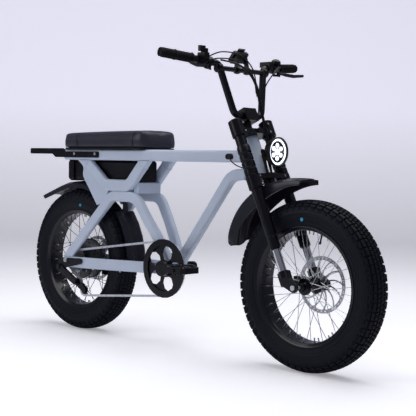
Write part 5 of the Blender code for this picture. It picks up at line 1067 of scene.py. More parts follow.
def make_side_frames():
    ceiling = (at(0, 0, RAIL_UNDERSIDE - UPPER_LOOP_GAP), Z_AXIS)
    loop_path = bent([at(x, RAIL_SIDE, z) for x, z in UPPER_LOOP], UPPER_LOOP_BEND, 8)
    loop = swept(loop_path, rounded_rectangle(*UPPER_LOOP_BOX, 6), end_planes=(ceiling, ceiling))
    shapes = []
    for shape in (side_arch(), loop, plate(GUSSET, *GUSSET_SIDE, side_view)):
        shapes += [shape, mirrored(shape)]
    shapes.append(between(-SIDE_TIE_HALF, SIDE_TIE_HALF, SIDE_TIE_PLACE, SIDE_TIE_RADIUS, 32))
    shapes.append(plate(rounded_rectangle(*SHELF_BOX, 4, SHELF_PLACE), -SHELF_HALF, SHELF_HALF, side_view))
    piece("side_frame_tubes", shapes, "frame_paint", "side_frames", ("side_frames",), edge=0.6)
    beads = []
    for side in (1, -1):
        for (x, z), along in LOOP_WELDS:
            beads.append(bead(at(x, side * RAIL_SIDE, z), along, *LOOP_WELD_SIZE))
    piece("side_frame_welds", beads, "frame_paint", "side_frames")


def stay_z(x):
    return STAY_Z + STAY_SLOPE * (x - STAY_START_X)


def make_stays():
    left = [at(x, y, stay_z(x)) for x, y in STAY_SIDES]
    sizes = [(1.0, height / STAY_BOX[1]) for height in STAY_HEIGHTS]
    stay = swept(left, rounded_rectangle(*STAY_BOX, 5), Y_AXIS, sizes)
    bridge = between(-STAY_BRIDGE_HALF, STAY_BRIDGE_HALF, STAY_BRIDGE_PLACE, STAY_BRIDGE_RADIUS, 28)
    piece("chainstays", [stay, mirrored(stay), bridge], "frame_paint", "rear_stays",
          ("rear_stays",), edge=0.6)
    bosses = []
    for x, y in BOSSES:
        for side in (1, -1):
            top = at(x, side * y, stay_z(x) - BOSS_DROP)
            bosses.append(rod(top, top - Z_AXIS * BOSS_LENGTH * MM, BOSS_RADIUS, 16, 0.8))
    piece("stay_bosses", bosses, "frame_paint", "rear_stays")
    outline = rounded_rectangle(*STAND_PLATE, 4, STAND_PLATE_PLACE)
    bracket = [plate(outline, *STAND_PLATE_SIDE, side_view),
               between(*STAND_PIN_SIDE, STAND_PIN_PLACE, STAND_PIN_RADIUS, 20)]
    piece("kickstand_bracket", bracket, "black_alloy", "rear_stays", edge=0.6)
    pads = []
    for side in (1, -1):
        near, far = [side * y for y in PAD_SIDE]
        pads.append(between(near, far, (0.0, PAD_Z), PAD_RADIUS, 32, 1.0))
    piece("dropout_pads", pads, "frame_paint", "rear_stays")


def make_frame():
    make_front_frame()
    make_side_frames()
    make_stays()
    dress("kickstand", "black_alloy")


# Fork and crowns, in millimetres along the leg from the steering axis's origin
LEG_SIDES = 48
TUBE_FOOT = (
    (-150.0, 14.9), (-369.0, 14.9), (-369.9, 16.0), (-369.9, 19.4), (-369.0, 20.0), (-330.0, 20.0),
    (-329.0, 19.3), (-326.0, 19.3), (-325.0, 20.0), (-96.0, 20.0), (-95.0, 21.0), (-94.0, 23.4),
)
TUBE_TOP = (
    (14.0, 22.4), (15.0, 20.0), (112.0, 20.0), (113.6, 19.6), (116.6, 18.0), (117.8, 15.0), (117.8, 9.0),
    (116.4, 8.4), (116.4, 0.01),
)
TUBE_SHARP = math.radians(24)
SLEEVE_START, SLEEVE_STEP, SLEEVE_RINGS = -94.0, 27.0, 4
SLEEVE_RADIUS, SLEEVE_BEVEL = 24.0, 1.0
# The groove after each ring of the sleeve: share of the step, and radius
SLEEVE_GROOVE = ((0.72, SLEEVE_RADIUS), (0.8, 22.4), (0.86, 21.2), (0.93, 22.4))
WIPER_SEAL = ((-373.6, 14.2), (-373.6, 15.2), (-372.0, 15.6), (-370.2, 15.6), (-370.2, 14.2))
INNER_TUBE, INNER_TUBE_RADIUS = (-470.7, -250.0), 14.0
FOOT_BOLT_AHEAD, FOOT_BOLT_UP, FOOT_BOLT_RADIUS = (-24.0, -19.0), -474.0, 4.0
CROWN_LEG_RADIUS, CROWN_HEAD_RADIUS = 24.0, 27.0
STEERER, STEERER_RADIUS = (-112.0, 123.0), 14.3
# Heights of each crown's plate, of its clamp round the leg and of its pinch bolts
CROWNS = {
    "upper": ((59.0, 77.0), (52.0, 113.0), (66.0, 98.0)),
    "lower": ((-116.0, -98.0), (-147.0, -96.5), (-107.0, -136.0)),
}
CLAMP_INNER, CLAMP_OUTER, CLAMP_EDGE = 20.2, 25.5, 1.0
EAR_BOX, EAR_AHEAD, EAR_INSET = (15.0, 11.0, 4.0), (-24.0, 22.0), 14.0
PINCH_BOLT = (3.6, 3.4)


def leg_place(side, up, ahead=0.0, inset=0.0):
    """A place beside a fork leg: side is 1 for the left one and -1 for the right one."""
    return steering(LEG_AHEAD + ahead, side * (LEG_SIDE - inset), up)


def outer_tube():
    """Profile of an outer fork tube with the ribbed sleeve below its upper crown."""
    sleeve = []
    for k in range(SLEEVE_RINGS):
        start = SLEEVE_START + k * SLEEVE_STEP
        sleeve.append((start + SLEEVE_BEVEL, SLEEVE_RADIUS))
        sleeve += [(start + SLEEVE_STEP * share, radius) for share, radius in SLEEVE_GROOVE]
    return [*TUBE_FOOT, *sleeve[:1 - len(SLEEVE_GROOVE)], *TUBE_TOP]


def make_fork():
    for name, side in (("right", -1), ("left", 1)):
        base = leg_place(side, 0.0)
        node = f"fork_tube_{name}"
        outer = turned(outer_tube(), base, STEER_UP, LEG_SIDES)
        piece(f"outer_tube_{name}", [outer], "black_alloy", node, (node,), sharp=TUBE_SHARP)
        seal = turned(WIPER_SEAL, base, STEER_UP, LEG_SIDES, closed=True)
        piece(f"wiper_seal_{name}", [seal], "cable_rubber", node)
        inner = rod(*[leg_place(side, up) for up in INNER_TUBE], INNER_TUBE_RADIUS, LEG_SIDES, 0.5)
        piece(f"inner_tube_{name}", [inner], "stanchion_steel", f"stanchion_{name}",
              (f"stanchion_{name}",))
        dress(f"fork_foot_{name}", "black_alloy", 1.2)
    make_crowns()
    make_front_fender()
    bolts = []
    for side in (1, -1):
        ends = [leg_place(side, FOOT_BOLT_UP, ahead) for ahead in FOOT_BOLT_AHEAD]
        bolts.append(rod(*ends, FOOT_BOLT_RADIUS, 16, 0.6))
    piece("foot_bolts", bolts, "bare_steel", "fork_foot_left")
    dress("front_caliper", "black_alloy", 1.0)
    dress("rear_caliper", "black_alloy", 1.0)


def crown_plate(heights):
    legs = [circle(CROWN_LEG_RADIUS, 40, (LEG_AHEAD, side * LEG_SIDE)) for side in (1, -1)]
    outline = hull(legs[0] + legs[1] + circle(CROWN_HEAD_RADIUS, 40))
    return skin([[steering(a, b, up) for a, b in outline] for up in heights])


def make_crown_block(name, plate_heights, clamp):
    """The plate of a fork crown with its clamps round the legs, and the steerer in the lower one."""
    start, end = clamp
    profile = [(start, CLAMP_INNER), (start, CLAMP_OUTER - CLAMP_EDGE), (start + CLAMP_EDGE, CLAMP_OUTER),
               (end - CLAMP_EDGE, CLAMP_OUTER), (end, CLAMP_OUTER - CLAMP_EDGE), (end, CLAMP_INNER)]
    shapes = [crown_plate(plate_heights)]
    for side in (1, -1):
        shapes.append(turned(profile, leg_place(side, 0.0), STEER_UP, LEG_SIDES, closed=True))
    if name == "lower":
        shapes.append(rod(*[steering(0, 0, up) for up in STEERER], STEERER_RADIUS, 32))
    node = f"{name}_crown"
    piece(f"{node}_block", shapes, "black_alloy", node, (node,), edge=1.2)


def ear_ends(heights):
    """The back and the front end of each ear on a crown's two clamps."""
    ends = []
    for side in (1, -1):
        ends += [[leg_place(side, up, ahead, EAR_INSET) for ahead in EAR_AHEAD] for up in heights]
    return ends


def make_crowns():
    ears = {}
    for name, (plate_heights, clamp, bolt_heights) in CROWNS.items():
        make_crown_block(name, plate_heights, clamp)
        ears[name] = ear_ends(bolt_heights)
    for name, ends in ears.items():
        bolts = []
        for behind, before in ends:
            bolts += [(before, STEER_AHEAD), (behind, -STEER_AHEAD)]
        head = hex_bolt(*PINCH_BOLT)
        scatter(f"{name}_pinch_bolts", [head], bolts, "bare_steel", f"{name}_crown")
    for name, ends in ears.items():
        shapes = [swept(pair, rounded_rectangle(*EAR_BOX, 4)) for pair in ends]
        piece(f"{name}_clamp_ears", shapes, "black_alloy", f"{name}_crown", edge=0.6)


# Front fender: angle from the top of the wheel, radius of its crown, and how far its skirts hang down
FENDER_STATIONS = (
    (-1.0, 367.0, 18.0), (-9.0, 373.0, 26.0), (-22.0, 386.0, 44.0), (-36.0, 397.0, 58.0),
    (-50.0, 399.0, 58.0), (-62.0, 390.0, 49.0), (-72.0, 373.0, 34.0),
)
# Across the fender: distance from the middle, share of the skirt and dip below the crown
FENDER_HALF = (
    (-54.0, 1.0, 3.0), (-53.7, 0.8, 3.0), (-53.0, 0.4, 3.0), (-51.0, 0.2, 3.0), (-47.0, 0.1, 3.0),
    (-42.0, 0.06, 3.0), (-28.0, 0.02, 3.0), (-18.0, 0.0, 3.0), (-16.6, 0.0, 2.6), (-14.6, 0.0, 0.4),
    (-13.0, 0.0, 0.0), (-5.0, 0.0, -0.8),
)
FENDER_THICK, FENDER_SIDE_WALL, FENDER_HALF_WIDTH = 2.4, 45.0, 54.0
# The corners are rounded over the last stations and, the other way, over the first ones
FENDER_TIP_STEPS, FENDER_ROOT_STEPS, FENDER_ROOT_SHARE, FENDER_ROUND_DEGREES = 5, 3, 0.35, 5.0
FENDER_MOUNT_BOX, FENDER_MOUNT_AHEAD, FENDER_MOUNT_UP = (27.0, 35.0, 5.0), 22.0, (-134.0, -116.3)


def make_front_fender():
    stations = smooth_curve(FENDER_STATIONS, 6)
    outer = list(FENDER_HALF) + [(-y, share, dip) for y, share, dip in reversed(FENDER_HALF)]
    rows = []
    last = len(stations) - 1
    for k, (degrees, crown, skirt) in enumerate(stations):
        tip = max(0.0, (k - last + FENDER_TIP_STEPS) / FENDER_TIP_STEPS)
        root = max(0.0, (FENDER_ROOT_STEPS - k) / FENDER_ROOT_STEPS)
        rounding = FENDER_ROUND_DEGREES * (tip ** 2 - FENDER_ROOT_SHARE * root ** 2)
        row = []
        for thick, order in ((0.0, 1), (FENDER_THICK, -1)):
            for y, share, dip in outer[::order]:
                pull = math.copysign(thick, -y) if abs(y) > FENDER_SIDE_WALL else 0.0
                radius = crown - skirt * share - dip - (thick if share < 1.0 else 0.0)
                angle = math.radians(90.0 - degrees - rounding * (y / FENDER_HALF_WIDTH) ** 4)
                row.append(FRONT_AXLE + round_axle(angle, radius, y + pull))
        rows.append(row)
    piece("front_guard", [skin(rows)], "guard_plastic", "front_fender",
          ("front_fender",), edge=0.5)
    mount = swept([steering(FENDER_MOUNT_AHEAD, 0.0, up) for up in FENDER_MOUNT_UP],
                  rounded_rectangle(*FENDER_MOUNT_BOX, 4))
    piece("front_guard_mount", [mount], "black_alloy", "front_fender", edge=0.6)


# Saddle
SEAT_REAR_X, SEAT_FRONT_X, SEAT_HALF_WIDTH, SEAT_CORNER = -60.0, 470.0, 98.0, 55.0
SEAT_LOW, SEAT_TOP, SEAT_RISE, SEAT_CROWN = 766.6, 826.0, 7.0, 2.0
SEAT_INSETS = (0.0, 1.5, 5.0, 11.0, 19.0, 30.0, 42.0, SEAT_CORNER)
SEAT_LEAST_INSET, SEAT_END, SEAT_END_LEAN, SEAT_END_DROP = 1.2, 30.0, 14.0, 9.0
SEAT_SPANS = 12
# Across the cushion: share of its half width, and share of its height
SEAT_SECTION = (
    (0.955, 0.0), (0.99, 0.16), (1.0, 0.38), (0.985, 0.58), (0.955, 0.625), (0.975, 0.67), (0.935, 0.84),
    (0.84, 0.935), (0.62, 0.98), (0.32, 0.997), (0.0, 1.0),
)
SEAT_SHARP = math.radians(60)
CLOTH_FACE, CLOTH_PRESSURE, CLOTH_STEPS, CLOTH_REACH, CLOTH_FLOOR = 6.0, 4.0, 12, 2.0, 766.4
# Each cross seam: where it crosses the middle, and how far its lower ends stand ahead of that
SEAMS = ((48.0, 10.0), (402.0, -8.0))
SEAM_DIAMETER, SEAM_GAP, SEAM_LIFT, SEAM_SPREAD = 1.6, 1.1, 0.6, 1.004


def seat_half_width(inset):
    """Half the cushion's width at a distance from its end, with round corners."""
    short = max(SEAT_CORNER - inset, 0.0)
    return SEAT_HALF_WIDTH - SEAT_CORNER + math.sqrt(SEAT_CORNER ** 2 - short ** 2)


def seat_top(share):
    return SEAT_TOP + SEAT_RISE * share + SEAT_CROWN * math.sin(math.pi * share)


def seat_stations():
    """Places along the cushion with their distances from the nearer end, the rear end first."""
    stations = [(SEAT_REAR_X + inset, inset) for inset in SEAT_INSETS]
    span = (SEAT_FRONT_X - SEAT_REAR_X - 2 * SEAT_CORNER) / SEAT_SPANS
    stations += [(SEAT_REAR_X + SEAT_CORNER + span * k, SEAT_CORNER) for k in range(1, SEAT_SPANS)]
    return stations + [(SEAT_FRONT_X - inset, inset) for inset in reversed(SEAT_INSETS)]


def make_seat():
    rows = []
    for x, inset in seat_stations():
        share = (x - SEAT_REAR_X) / (SEAT_FRONT_X - SEAT_REAR_X)
        half = seat_half_width(max(inset, SEAT_LEAST_INSET))
        end = 1 - min(inset / SEAT_END, 1.0)
        height = seat_top(share) - SEAT_END_DROP * end - SEAT_LOW
        lean = math.copysign(SEAT_END_LEAN * end, share - 0.5)
        left = [(half * s, h) for s, h in SEAT_SECTION]
        section = left + [(-y, h) for y, h in reversed(left[:-1])]
        rows.append([at(x - lean * h, y, SEAT_LOW + height * h) for y, h in section])
    cushion = piece("saddle_cushion", [skin(rows)], "saddle_leather", "seat_cushion",
                    ("seat_cushion",), sharp=SEAT_SHARP)
    fill_out(cushion)
    dress("seat_base", "black_plastic", 0.7)
    make_seat_seams()


def fill_out(cushion):
    """Swells the cushion a little as cloth under pressure, and keeps its own outline."""
    voxels = cushion.modifiers.new("Even faces", "REMESH")
    voxels.mode = "VOXEL"
    voxels.voxel_size = CLOTH_FACE * MM
    bpy.context.view_layer.update()
    cushion.data = result_of(cushion)
    start = [vertex.co.copy() for vertex in cushion.data.vertices]
    cloth = cushion.modifiers.new("Swell", "CLOTH")
    cloth.settings.use_pressure = True
    cloth.settings.uniform_pressure_force = CLOTH_PRESSURE
    cloth.settings.effector_weights.gravity = 0.0
    scene = bpy.context.scene
    for step in range(1, CLOTH_STEPS + 1):
        scene.frame_set(step)
    made = result_of(cushion)
    scene.frame_set(1)
    if len(made.vertices) != len(start):
        raise RuntimeError("the cloth changed the cushion's points")
    for vertex, place in zip(made.vertices, start):
        move = vertex.co - place
        if move.length > CLOTH_REACH * MM:
            vertex.co = place + move.normalized() * CLOTH_REACH * MM
        vertex.co.z = max(vertex.co.z, CLOTH_FLOOR * MM)
    cushion.data = made
    made.materials.clear()
    made.materials.append(finish("saddle_leather"))
    made.shade_smooth()


def result_of(thing):
    """The mesh that an object's modifiers make, which then come off."""
    made = bpy.data.meshes.new_from_object(thing.evaluated_get(bpy.context.evaluated_depsgraph_get()))
    thing.modifiers.clear()
    return made


def make_seat_seams():
    lines = []
    for x, lean in SEAMS:
        height = seat_top((x - SEAT_REAR_X) / (SEAT_FRONT_X - SEAT_REAR_X)) - SEAT_LOW
        left = [(x + lean * (1 - h), SEAT_HALF_WIDTH * s, SEAT_LOW + height * h) for s, h in SEAT_SECTION]
        lines.append([at(*p) for p in left] + [at(a, -y, z) for a, y, z in reversed(left[:-1])])
    for name, offset in (("a", -SEAM_GAP * MM), ("b", SEAM_GAP * MM)):
        for k, line in enumerate(lines):
            route = [Vector((p.x + offset, p.y * SEAM_SPREAD, p.z + SEAM_LIFT * MM)) for p in line]
            cable(f"saddle_seam_{k}_{name}", route, SEAM_DIAMETER, "seat_cushion", "saddle_leather")


# Battery, rack and rear guards
BATTERY_BOX, BATTERY_PLACE, BATTERY_X = (88.0, 86.0, 14.0), (0.0, 673.0), (-64.5, 389.5)
RACK_BOLT_X, RACK_BOLT_SIDE, RACK_BOLT_Z, RACK_BOLT = (28.0, 160.0), 86.3, 741.0, (6.0, 4.0)


def make_battery():
    outline = rounded_rectangle(*BATTERY_BOX, 7, BATTERY_PLACE)
    piece("battery_body", [plate(outline, *BATTERY_X, rear_view)], "black_plastic",
          "battery_case", ("battery_case",), edge=3.0)
    dress("tail_light", "tail_lens", 1.0)


def make_rack():
    dress("rear_rack", "black_alloy", 1.6)
    places = []
    for x in RACK_BOLT_X:
        for side in (1, -1):
            places.append((at(x, side * RACK_BOLT_SIDE, RACK_BOLT_Z), Y_AXIS * side))
    scatter("rack_bolts", [hex_bolt(*RACK_BOLT)], places, "bare_steel", "rear_rack")
    dress("rear_fender", "guard_plastic", 0.6)
    dress("rear_mudguard", "guard_plastic", 0.6)


# Drive
LINK_PITCH = 12.7
CHAIN_SIDE = -68.0
# Each wheel that the chain runs round: its place, its teeth, and 1 or -1 for the way round
CHAIN_WHEELS = (
    ((0.0, REAR_AXLE.z / MM), 18, 1), ((559.0, 306.5), 52, 1), ((85.0, 176.0), 11, 1),
    ((40.0, 205.0), 11, -1),
)
CHAIN_STEP = 3.0
OUTER_PLATES, INNER_PLATES = (-4.35, 4.35), (-3.25, 3.25)
PLATE_HALF, PLATE_RADIUS, PLATE_ARC, PLATE_STEPS = 0.5, 4.3, math.radians(150), 8
CHAIN_PIN, CHAIN_ROLLER = ((-5.4, 1.9), (5.4, 1.9)), ((-2.4, 3.9), (2.4, 3.9))
# Rows of pins on a pedal, along and across it, their height over its middle, and each pedal's lean
PEDAL_PIN_ALONG, PEDAL_PIN_ACROSS, PEDAL_PIN_UP = (-40.0, 40.0), (-34.0, 0.0, 34.0), 10.5
PEDAL_PIN = ((0.0, 1.8), (1.6, 1.8), (2.4, 1.2))
PEDAL_LEANS = {"pedal_right": 0.0, "pedal_left": math.radians(72)}


def make_drive():
    for node in ("chainring", "crank_right", "crank_left", "derailleur", "derailleur_cage", "jockey_upper",
                 "jockey_lower"):
        dress(node, "black_alloy", 0.5)
    dress("cassette", "disc_steel", 0.3)
    dress("chain", "chain_steel", 0.0)
    for node in PEDAL_LEANS:
        dress(node, "black_plastic", 0.6)
    make_chain_plates()
    for node, lean in PEDAL_LEANS.items():
        make_pedal_pins(node, lean)


def chain_circles():
    """Centre, pitch radius and way round of each wheel in the chain, in millimetres of the frame."""
    circles = []
    for (x, z), teeth, way in CHAIN_WHEELS:
        circles.append((at(x, 0, 0).x / MM, z, LINK_PITCH / 2 / math.sin(math.pi / teeth), way))
    return circles


def tangent(first, second):
    """The touching line between two circles that are run round, both clockwise unless the sign is minus."""
    ax, az, ar, asign = first
    bx, bz, br, bsign = second
    gap = math.hypot(bx - ax, bz - az)
    ux, uz = (bx - ax) / gap, (bz - az) / gap
    ra, rb = ar * asign, br * bsign
    lean = (ra - rb) / gap
    across = math.sqrt(max(1 - lean * lean, 0.0))
    nx, nz = ux * lean - uz * across, uz * lean + ux * across
    return (ax + nx * ra, az + nz * ra), (bx + nx * rb, bz + nz * rb)


def chain_line():
    """The chain's closed line, as straight runs and the arcs round its wheels."""
    circles = chain_circles()
    touches = [tangent(here, after) for here, after in zip(circles, circles[1:] + circles[:1])]
    line = []
    for k, (start, end) in enumerate(touches):
        cx, cz, radius, way = circles[(k + 1) % len(circles)]
        leave = touches[(k + 1) % len(circles)][0]
        first = math.atan2(end[1] - cz, end[0] - cx)
        last = math.atan2(leave[1] - cz, leave[0] - cx)
        turn = (first - last) % math.tau if way > 0 else -((last - first) % math.tau)
        steps = max(int(abs(turn) * radius / CHAIN_STEP), 2)
        line += [start, end]
        for step in range(1, steps):
            angle = first - turn * step / steps
            line.append((cx + radius * math.cos(angle), cz + radius * math.sin(angle)))
    return line


def place_along(line, lengths, distance):
    """The point of a closed line at a distance along it."""
    for k, start in enumerate(line):
        if lengths[k + 1] >= distance:
            end = line[(k + 1) % len(line)]
            share = (distance - lengths[k]) / max(lengths[k + 1] - lengths[k], 1e-9)
            return start[0] + (end[0] - start[0]) * share, start[1] + (end[1] - start[1]) * share
    return line[0]


def make_chain_plates():
    """Side plates, pins and rollers of every link, laid along the chain's line."""
    line = chain_line()
    lengths = [0.0]
    for a, b in zip(line, line[1:] + line[:1]):
        lengths.append(lengths[-1] + math.dist(a, b))
    links = 2 * round(lengths[-1] / LINK_PITCH / 2)
    pitch = lengths[-1] / links
    rollers, plates = [], ([], [])
    for k in range(links):
        here = place_along(line, lengths, k * pitch)
        after = place_along(line, lengths, (k + 1) % links * pitch)
        turn = (0.0, -math.atan2(after[1] - here[1], after[0] - here[0]), 0.0)
        middle = Vector(((here[0] + after[0]) / 2, CHAIN_SIDE, (here[1] + after[1]) / 2)) * MM
        plates[k % 2].append((middle, turn))
        rollers.append((Vector((here[0], CHAIN_SIDE, here[1])) * MM, turn))
    outer, inner = [[link_plate(pitch, y) for y in sides] for sides in (OUTER_PLATES, INNER_PLATES)]
    pin = [turned(CHAIN_PIN, (0, 0, 0), Y_AXIS, 10), turned(CHAIN_ROLLER, (0, 0, 0), Y_AXIS, 12)]
    scatter("chain_outer_plates", outer, plates[1], "chain_steel", "chain")
    scatter("chain_inner_plates", inner, plates[0], "chain_steel", "chain")
    scatter("chain_pins", pin, rollers, "chain_steel", "chain")


def link_plate(pitch, y):
    """A link's side plate: two round ends a pitch apart."""
    outline = []
    for middle, turn in ((pitch / 2, 0.0), (-pitch / 2, math.pi)):
        for k in range(PLATE_STEPS + 1):
            angle = PLATE_ARC * (k / PLATE_STEPS - 0.5) + turn
            outline.append((middle + PLATE_RADIUS * math.cos(angle), PLATE_RADIUS * math.sin(angle)))
    return skin([[Vector((u, y + d, v)) * MM for u, v in outline] for d in (-PLATE_HALF, PLATE_HALF)])


def make_pedal_pins(node, lean):
    place = centre_of(node)
    up = Vector((math.sin(lean), 0.0, math.cos(lean)))
    along = Vector((math.cos(lean), 0.0, -math.sin(lean)))
    spots = []
    for dx in PEDAL_PIN_ALONG:
        for dy in PEDAL_PIN_ACROSS:
            for face in (1, -1):
                offset = along * dx + Y_AXIS * dy + up * face * PEDAL_PIN_UP
                spots.append((place + offset * MM, up * face))
    pin = turned(PEDAL_PIN, (0, 0, 0), Z_AXIS, 8)
    scatter(f"{node}_pins", [pin], spots, "bare_steel", node)


# Handlebar and controls
BAR_SHARP = math.radians(50)
BAR_BENDS = (0.0, 26.0, 30.0, 30.0, 26.0, 0.0)
CROSSBAR_PLACE, CROSSBAR_HALF, CROSSBAR_RADIUS = (875.0, 1048.0), 114.0, 9.0
COLLAR_SIDES, COLLAR_RADIUS = (113.0, 133.0), 17.0
RIB_STEP, RIB_START, RIB_END_GAP = 6.5, 10.0, 16.0
GRIP_RIB = ((-1.6, 16.0), (-1.2, 17.2), (1.2, 17.2), (1.6, 16.0))
SCREEN_PLACE, SCREEN_NORMAL, SCREEN_LIFT = (857.0, 0.0, 1097.0), (-34.0, 0.0, 29.0), 5.2
SCREEN_BOX, SCREEN_THICK = (38.0, 68.0, 4.0), 0.7


def make_cockpit():
    path = bent(on_side(-1, reversed(BAR_PATH)) + on_side(1, BAR_PATH), BAR_BENDS, 8)
    shapes = [swept(path, circle(BAR_RADIUS, 32), Vector((1.0, 0.0, 0.0))),
              between(-CROSSBAR_HALF, CROSSBAR_HALF, CROSSBAR_PLACE, CROSSBAR_RADIUS, 32)]
    for side in (1, -1):
        near, far = [side * y for y in COLLAR_SIDES]
        shapes.append(between(near, far, CROSSBAR_PLACE, COLLAR_RADIUS, 32, 2.0))
    piece("high_rise_bar", shapes, "black_alloy", "handlebar", ("handlebar",), sharp=BAR_SHARP)
    dress("stem", "black_alloy", 3.0)
    for node in ("display", "shifter_body", "shifter_lever", "mode_switch"):
        dress(node, "black_plastic", 0.8)
    for node in ("brake_mount_right", "brake_mount_left", "brake_lever_right", "brake_lever_left"):
        dress(node, "black_alloy", 0.9)
    for node in ("grip_left", "grip_right", "throttle_grip"):
        dress(node, "grip_rubber", 0.6)
        make_grip_ribs(node)
    dress("headlight_bracket", "black_alloy", 0.6)
    make_lamp()
    make_screen()


def make_grip_ribs(node):
    side = 1 if centre_of(node).y > 0 else -1
    near, far = sorted(abs(corner.y) / MM for corner in map(Vector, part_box(node)))
    ribs = []
    for k in range(int((far - near - RIB_END_GAP) / RIB_STEP)):
        place = along_bar(side * (near + RIB_START + RIB_STEP * k))
        ribs.append(turned(GRIP_RIB, place, bar_direction(side), 28, closed=True))
    piece(f"{node}_ribs", ribs, "grip_rubber", node)


def make_screen():
    normal = Vector(SCREEN_NORMAL).normalized()
    along = Vector((normal.z, 0.0, -normal.x))
    place = at(*SCREEN_PLACE) + normal * SCREEN_LIFT * MM
    outline = [Y_AXIS * u + along * v for u, v in rounded_rectangle(*SCREEN_BOX, 4)]
    rows = [[place + (offset + normal * d) * MM for offset in outline] for d in (0.0, SCREEN_THICK)]
    piece("display_glass", [skin(rows)], "screen_glass", "display")


# Headlight, in millimetres ahead of its rim and out from its axis
LAMP_PLACE = (1058.0, 0.0, 755.0)
LAMP_AXIS = Vector((1.0, 0.0, 0.0))
LAMP_SIDES = 64
LAMP_SHELL = (
    (-50.0, 0.01), (-50.0, 14.0), (-47.0, 22.0), (-43.0, 30.0), (-34.0, 39.0), (-22.0, 46.0), (-14.0, 50.0),
    (-7.0, 52.0), (-1.0, 52.4), (0.0, 51.6), (0.0, 47.8), (-1.0, 47.4), (-8.9, 46.0), (-9.0, 44.8),
    (-13.0, 44.0), (-13.0, 0.01),
)
LAMP_SHARP = math.radians(50)
LAMP_FINS = ((-33.0, 40.8), (-28.0, 43.9), (-23.0, 46.6), (-18.0, 49.0))
FIN_HALF, FIN_DEPTH = 0.8, 4.0
LAMP_RING = ((-8.6, 45.6), (-8.6, 39.0), (-6.0, 38.6), (-5.0, 40.0), (-4.6, 43.4), (-6.6, 45.6))
LAMP_DISH = (
    (-12.6, 0.01), (-12.6, 12.0), (-11.4, 24.0), (-9.0, 38.0), (-8.4, 38.4), (-8.6, 40.0), (-12.9, 40.0),
    (-13.0, 0.01),
)
LAMP_CELLS, CELL_RING = 6, 22.5
# Radius and depths of the frames and the lights, for a small module and for the one in the middle
CELL_FRAME, CELL_LIGHT = (10.0, (-12.2, -8.6)), (7.6, (-9.0, -6.4))
MIDDLE_FRAME, MIDDLE_LIGHT = (15.0, (-12.2, -8.2)), (11.5, (-9.0, -5.6))
VANE_REACH, VANE_DEPTH, VANE_HALF = (15.0, 38.0), (-12.0, -8.6), 1.6


def lamp_module(place, radius, depths, sides, centre=(0.0, 0.0)):
    """A short round block in the lamp, out from its axis by centre."""
    outline = circle(radius, sides, centre)
    return skin([[place + Vector((depth, u, v)) * MM for u, v in outline] for depth in depths])


def make_lamp():
    place = at(*LAMP_PLACE)
    piece("lamp_shell", [turned(LAMP_SHELL, place, LAMP_AXIS, LAMP_SIDES)], "black_plastic",
          "headlight_shell", ("headlight_shell",), sharp=LAMP_SHARP)
    fins = []
    for along, radius in LAMP_FINS:
        foot, near, far = radius - FIN_DEPTH, along - FIN_HALF, along + FIN_HALF
        fins.append(turned(((near, foot), (near, radius), (far, radius), (far, foot)), place, LAMP_AXIS, 48,
                           closed=True))
    piece("lamp_cooling_fins", fins, "black_plastic", "headlight_shell")
    piece("lamp_ring_light", [turned(LAMP_RING, place, LAMP_AXIS, LAMP_SIDES, closed=True)], "lamp_lens",
          "headlight_lens", ("headlight_lens",))
    piece("lamp_reflector", [turned(LAMP_DISH, place, LAMP_AXIS, LAMP_SIDES)], "black_gloss",
          "headlight_lens")
    cells, frames = [], []
    for k in range(LAMP_CELLS):
        angle = math.tau * (k + 0.5) / LAMP_CELLS
        centre = (CELL_RING * math.cos(angle), CELL_RING * math.sin(angle))
        frames.append(lamp_module(place, *CELL_FRAME, 20, centre))
        cells.append(lamp_module(place, *CELL_LIGHT, 20, centre))
    frames.append(lamp_module(place, *MIDDLE_FRAME, 28))
    cells.append(lamp_module(place, *MIDDLE_LIGHT, 28))
    piece("lamp_modules", cells, "lamp_lens", "headlight_lens", edge=0.8)
    piece("lamp_module_frames", frames, "lamp_mirror", "headlight_lens", edge=0.6)
    vanes = []
    for angle in (0.0, math.pi / 2):
        run = Vector((0.0, math.cos(angle), math.sin(angle)))
        vanes += [lamp_vane(place, run, way) for way in (1, -1)]
    piece("lamp_vanes", vanes, "lamp_mirror", "headlight_lens")


def lamp_vane(place, run, way):
    """A thin wall between two modules, from the middle one out to the ring."""
    across = Vector((0.0, -run.z, run.y))
    back, front = VANE_DEPTH
    corners = ((back, -VANE_HALF), (front, -VANE_HALF), (front, VANE_HALF), (back, VANE_HALF))
    rows = []
    for reach in VANE_REACH:
        rows.append([place + (LAMP_AXIS * d + run * way * reach + across * w) * MM for d, w in corners])
    return skin(rows)


# Cables
BUNDLE_ROUTE = (
    (890.0, -128.0, 1075.0), (925.0, -80.0, 1062.0), (948.0, -40.0, 1030.0), (958.0, -12.0, 985.0),
    (958.0, 6.0, 930.0), (968.0, 16.0, 870.0), (982.0, 19.7, 815.0), (989.0, 19.7, 776.0),
    (993.0, 19.7, 748.0),
)
# Each cable of the bundle: to the left of its route, and ahead of it
BUNDLE_OFFSETS = ((-2.9, 1.2), (2.9, 1.2), (0.0, -3.0))
BUNDLE_DIAMETER, HOSE_DIAMETER, WIRE_DIAMETER = 5.4, 4.6, 4.5
HOSE_ROUTES = {
    "brake_hose_right": (
        (884, -190, 1066), (915, -170, 1075), (950, -120, 1072), (966, -70, 1050), (965, -35, 1010),
        (962, -18, 960),
    ),
    "brake_hose_left": (
        (884, 190, 1066), (918, 165, 1070), (955, 110, 1062), (972, 60, 1035), (968, 25, 990), (964, 8, 940),
    ),
    "shift_cable": (
        (880, -182, 1083), (925, -160, 1098), (965, -110, 1088), (975, -60, 1050), (968, -28, 1000),
        (962, -14, 950),
    ),
}
WIRE_ROUTE = ((862, -40, 736), (868, -50, 730), (884, -52, 716), (900, -44, 704), (918, -34, 696))


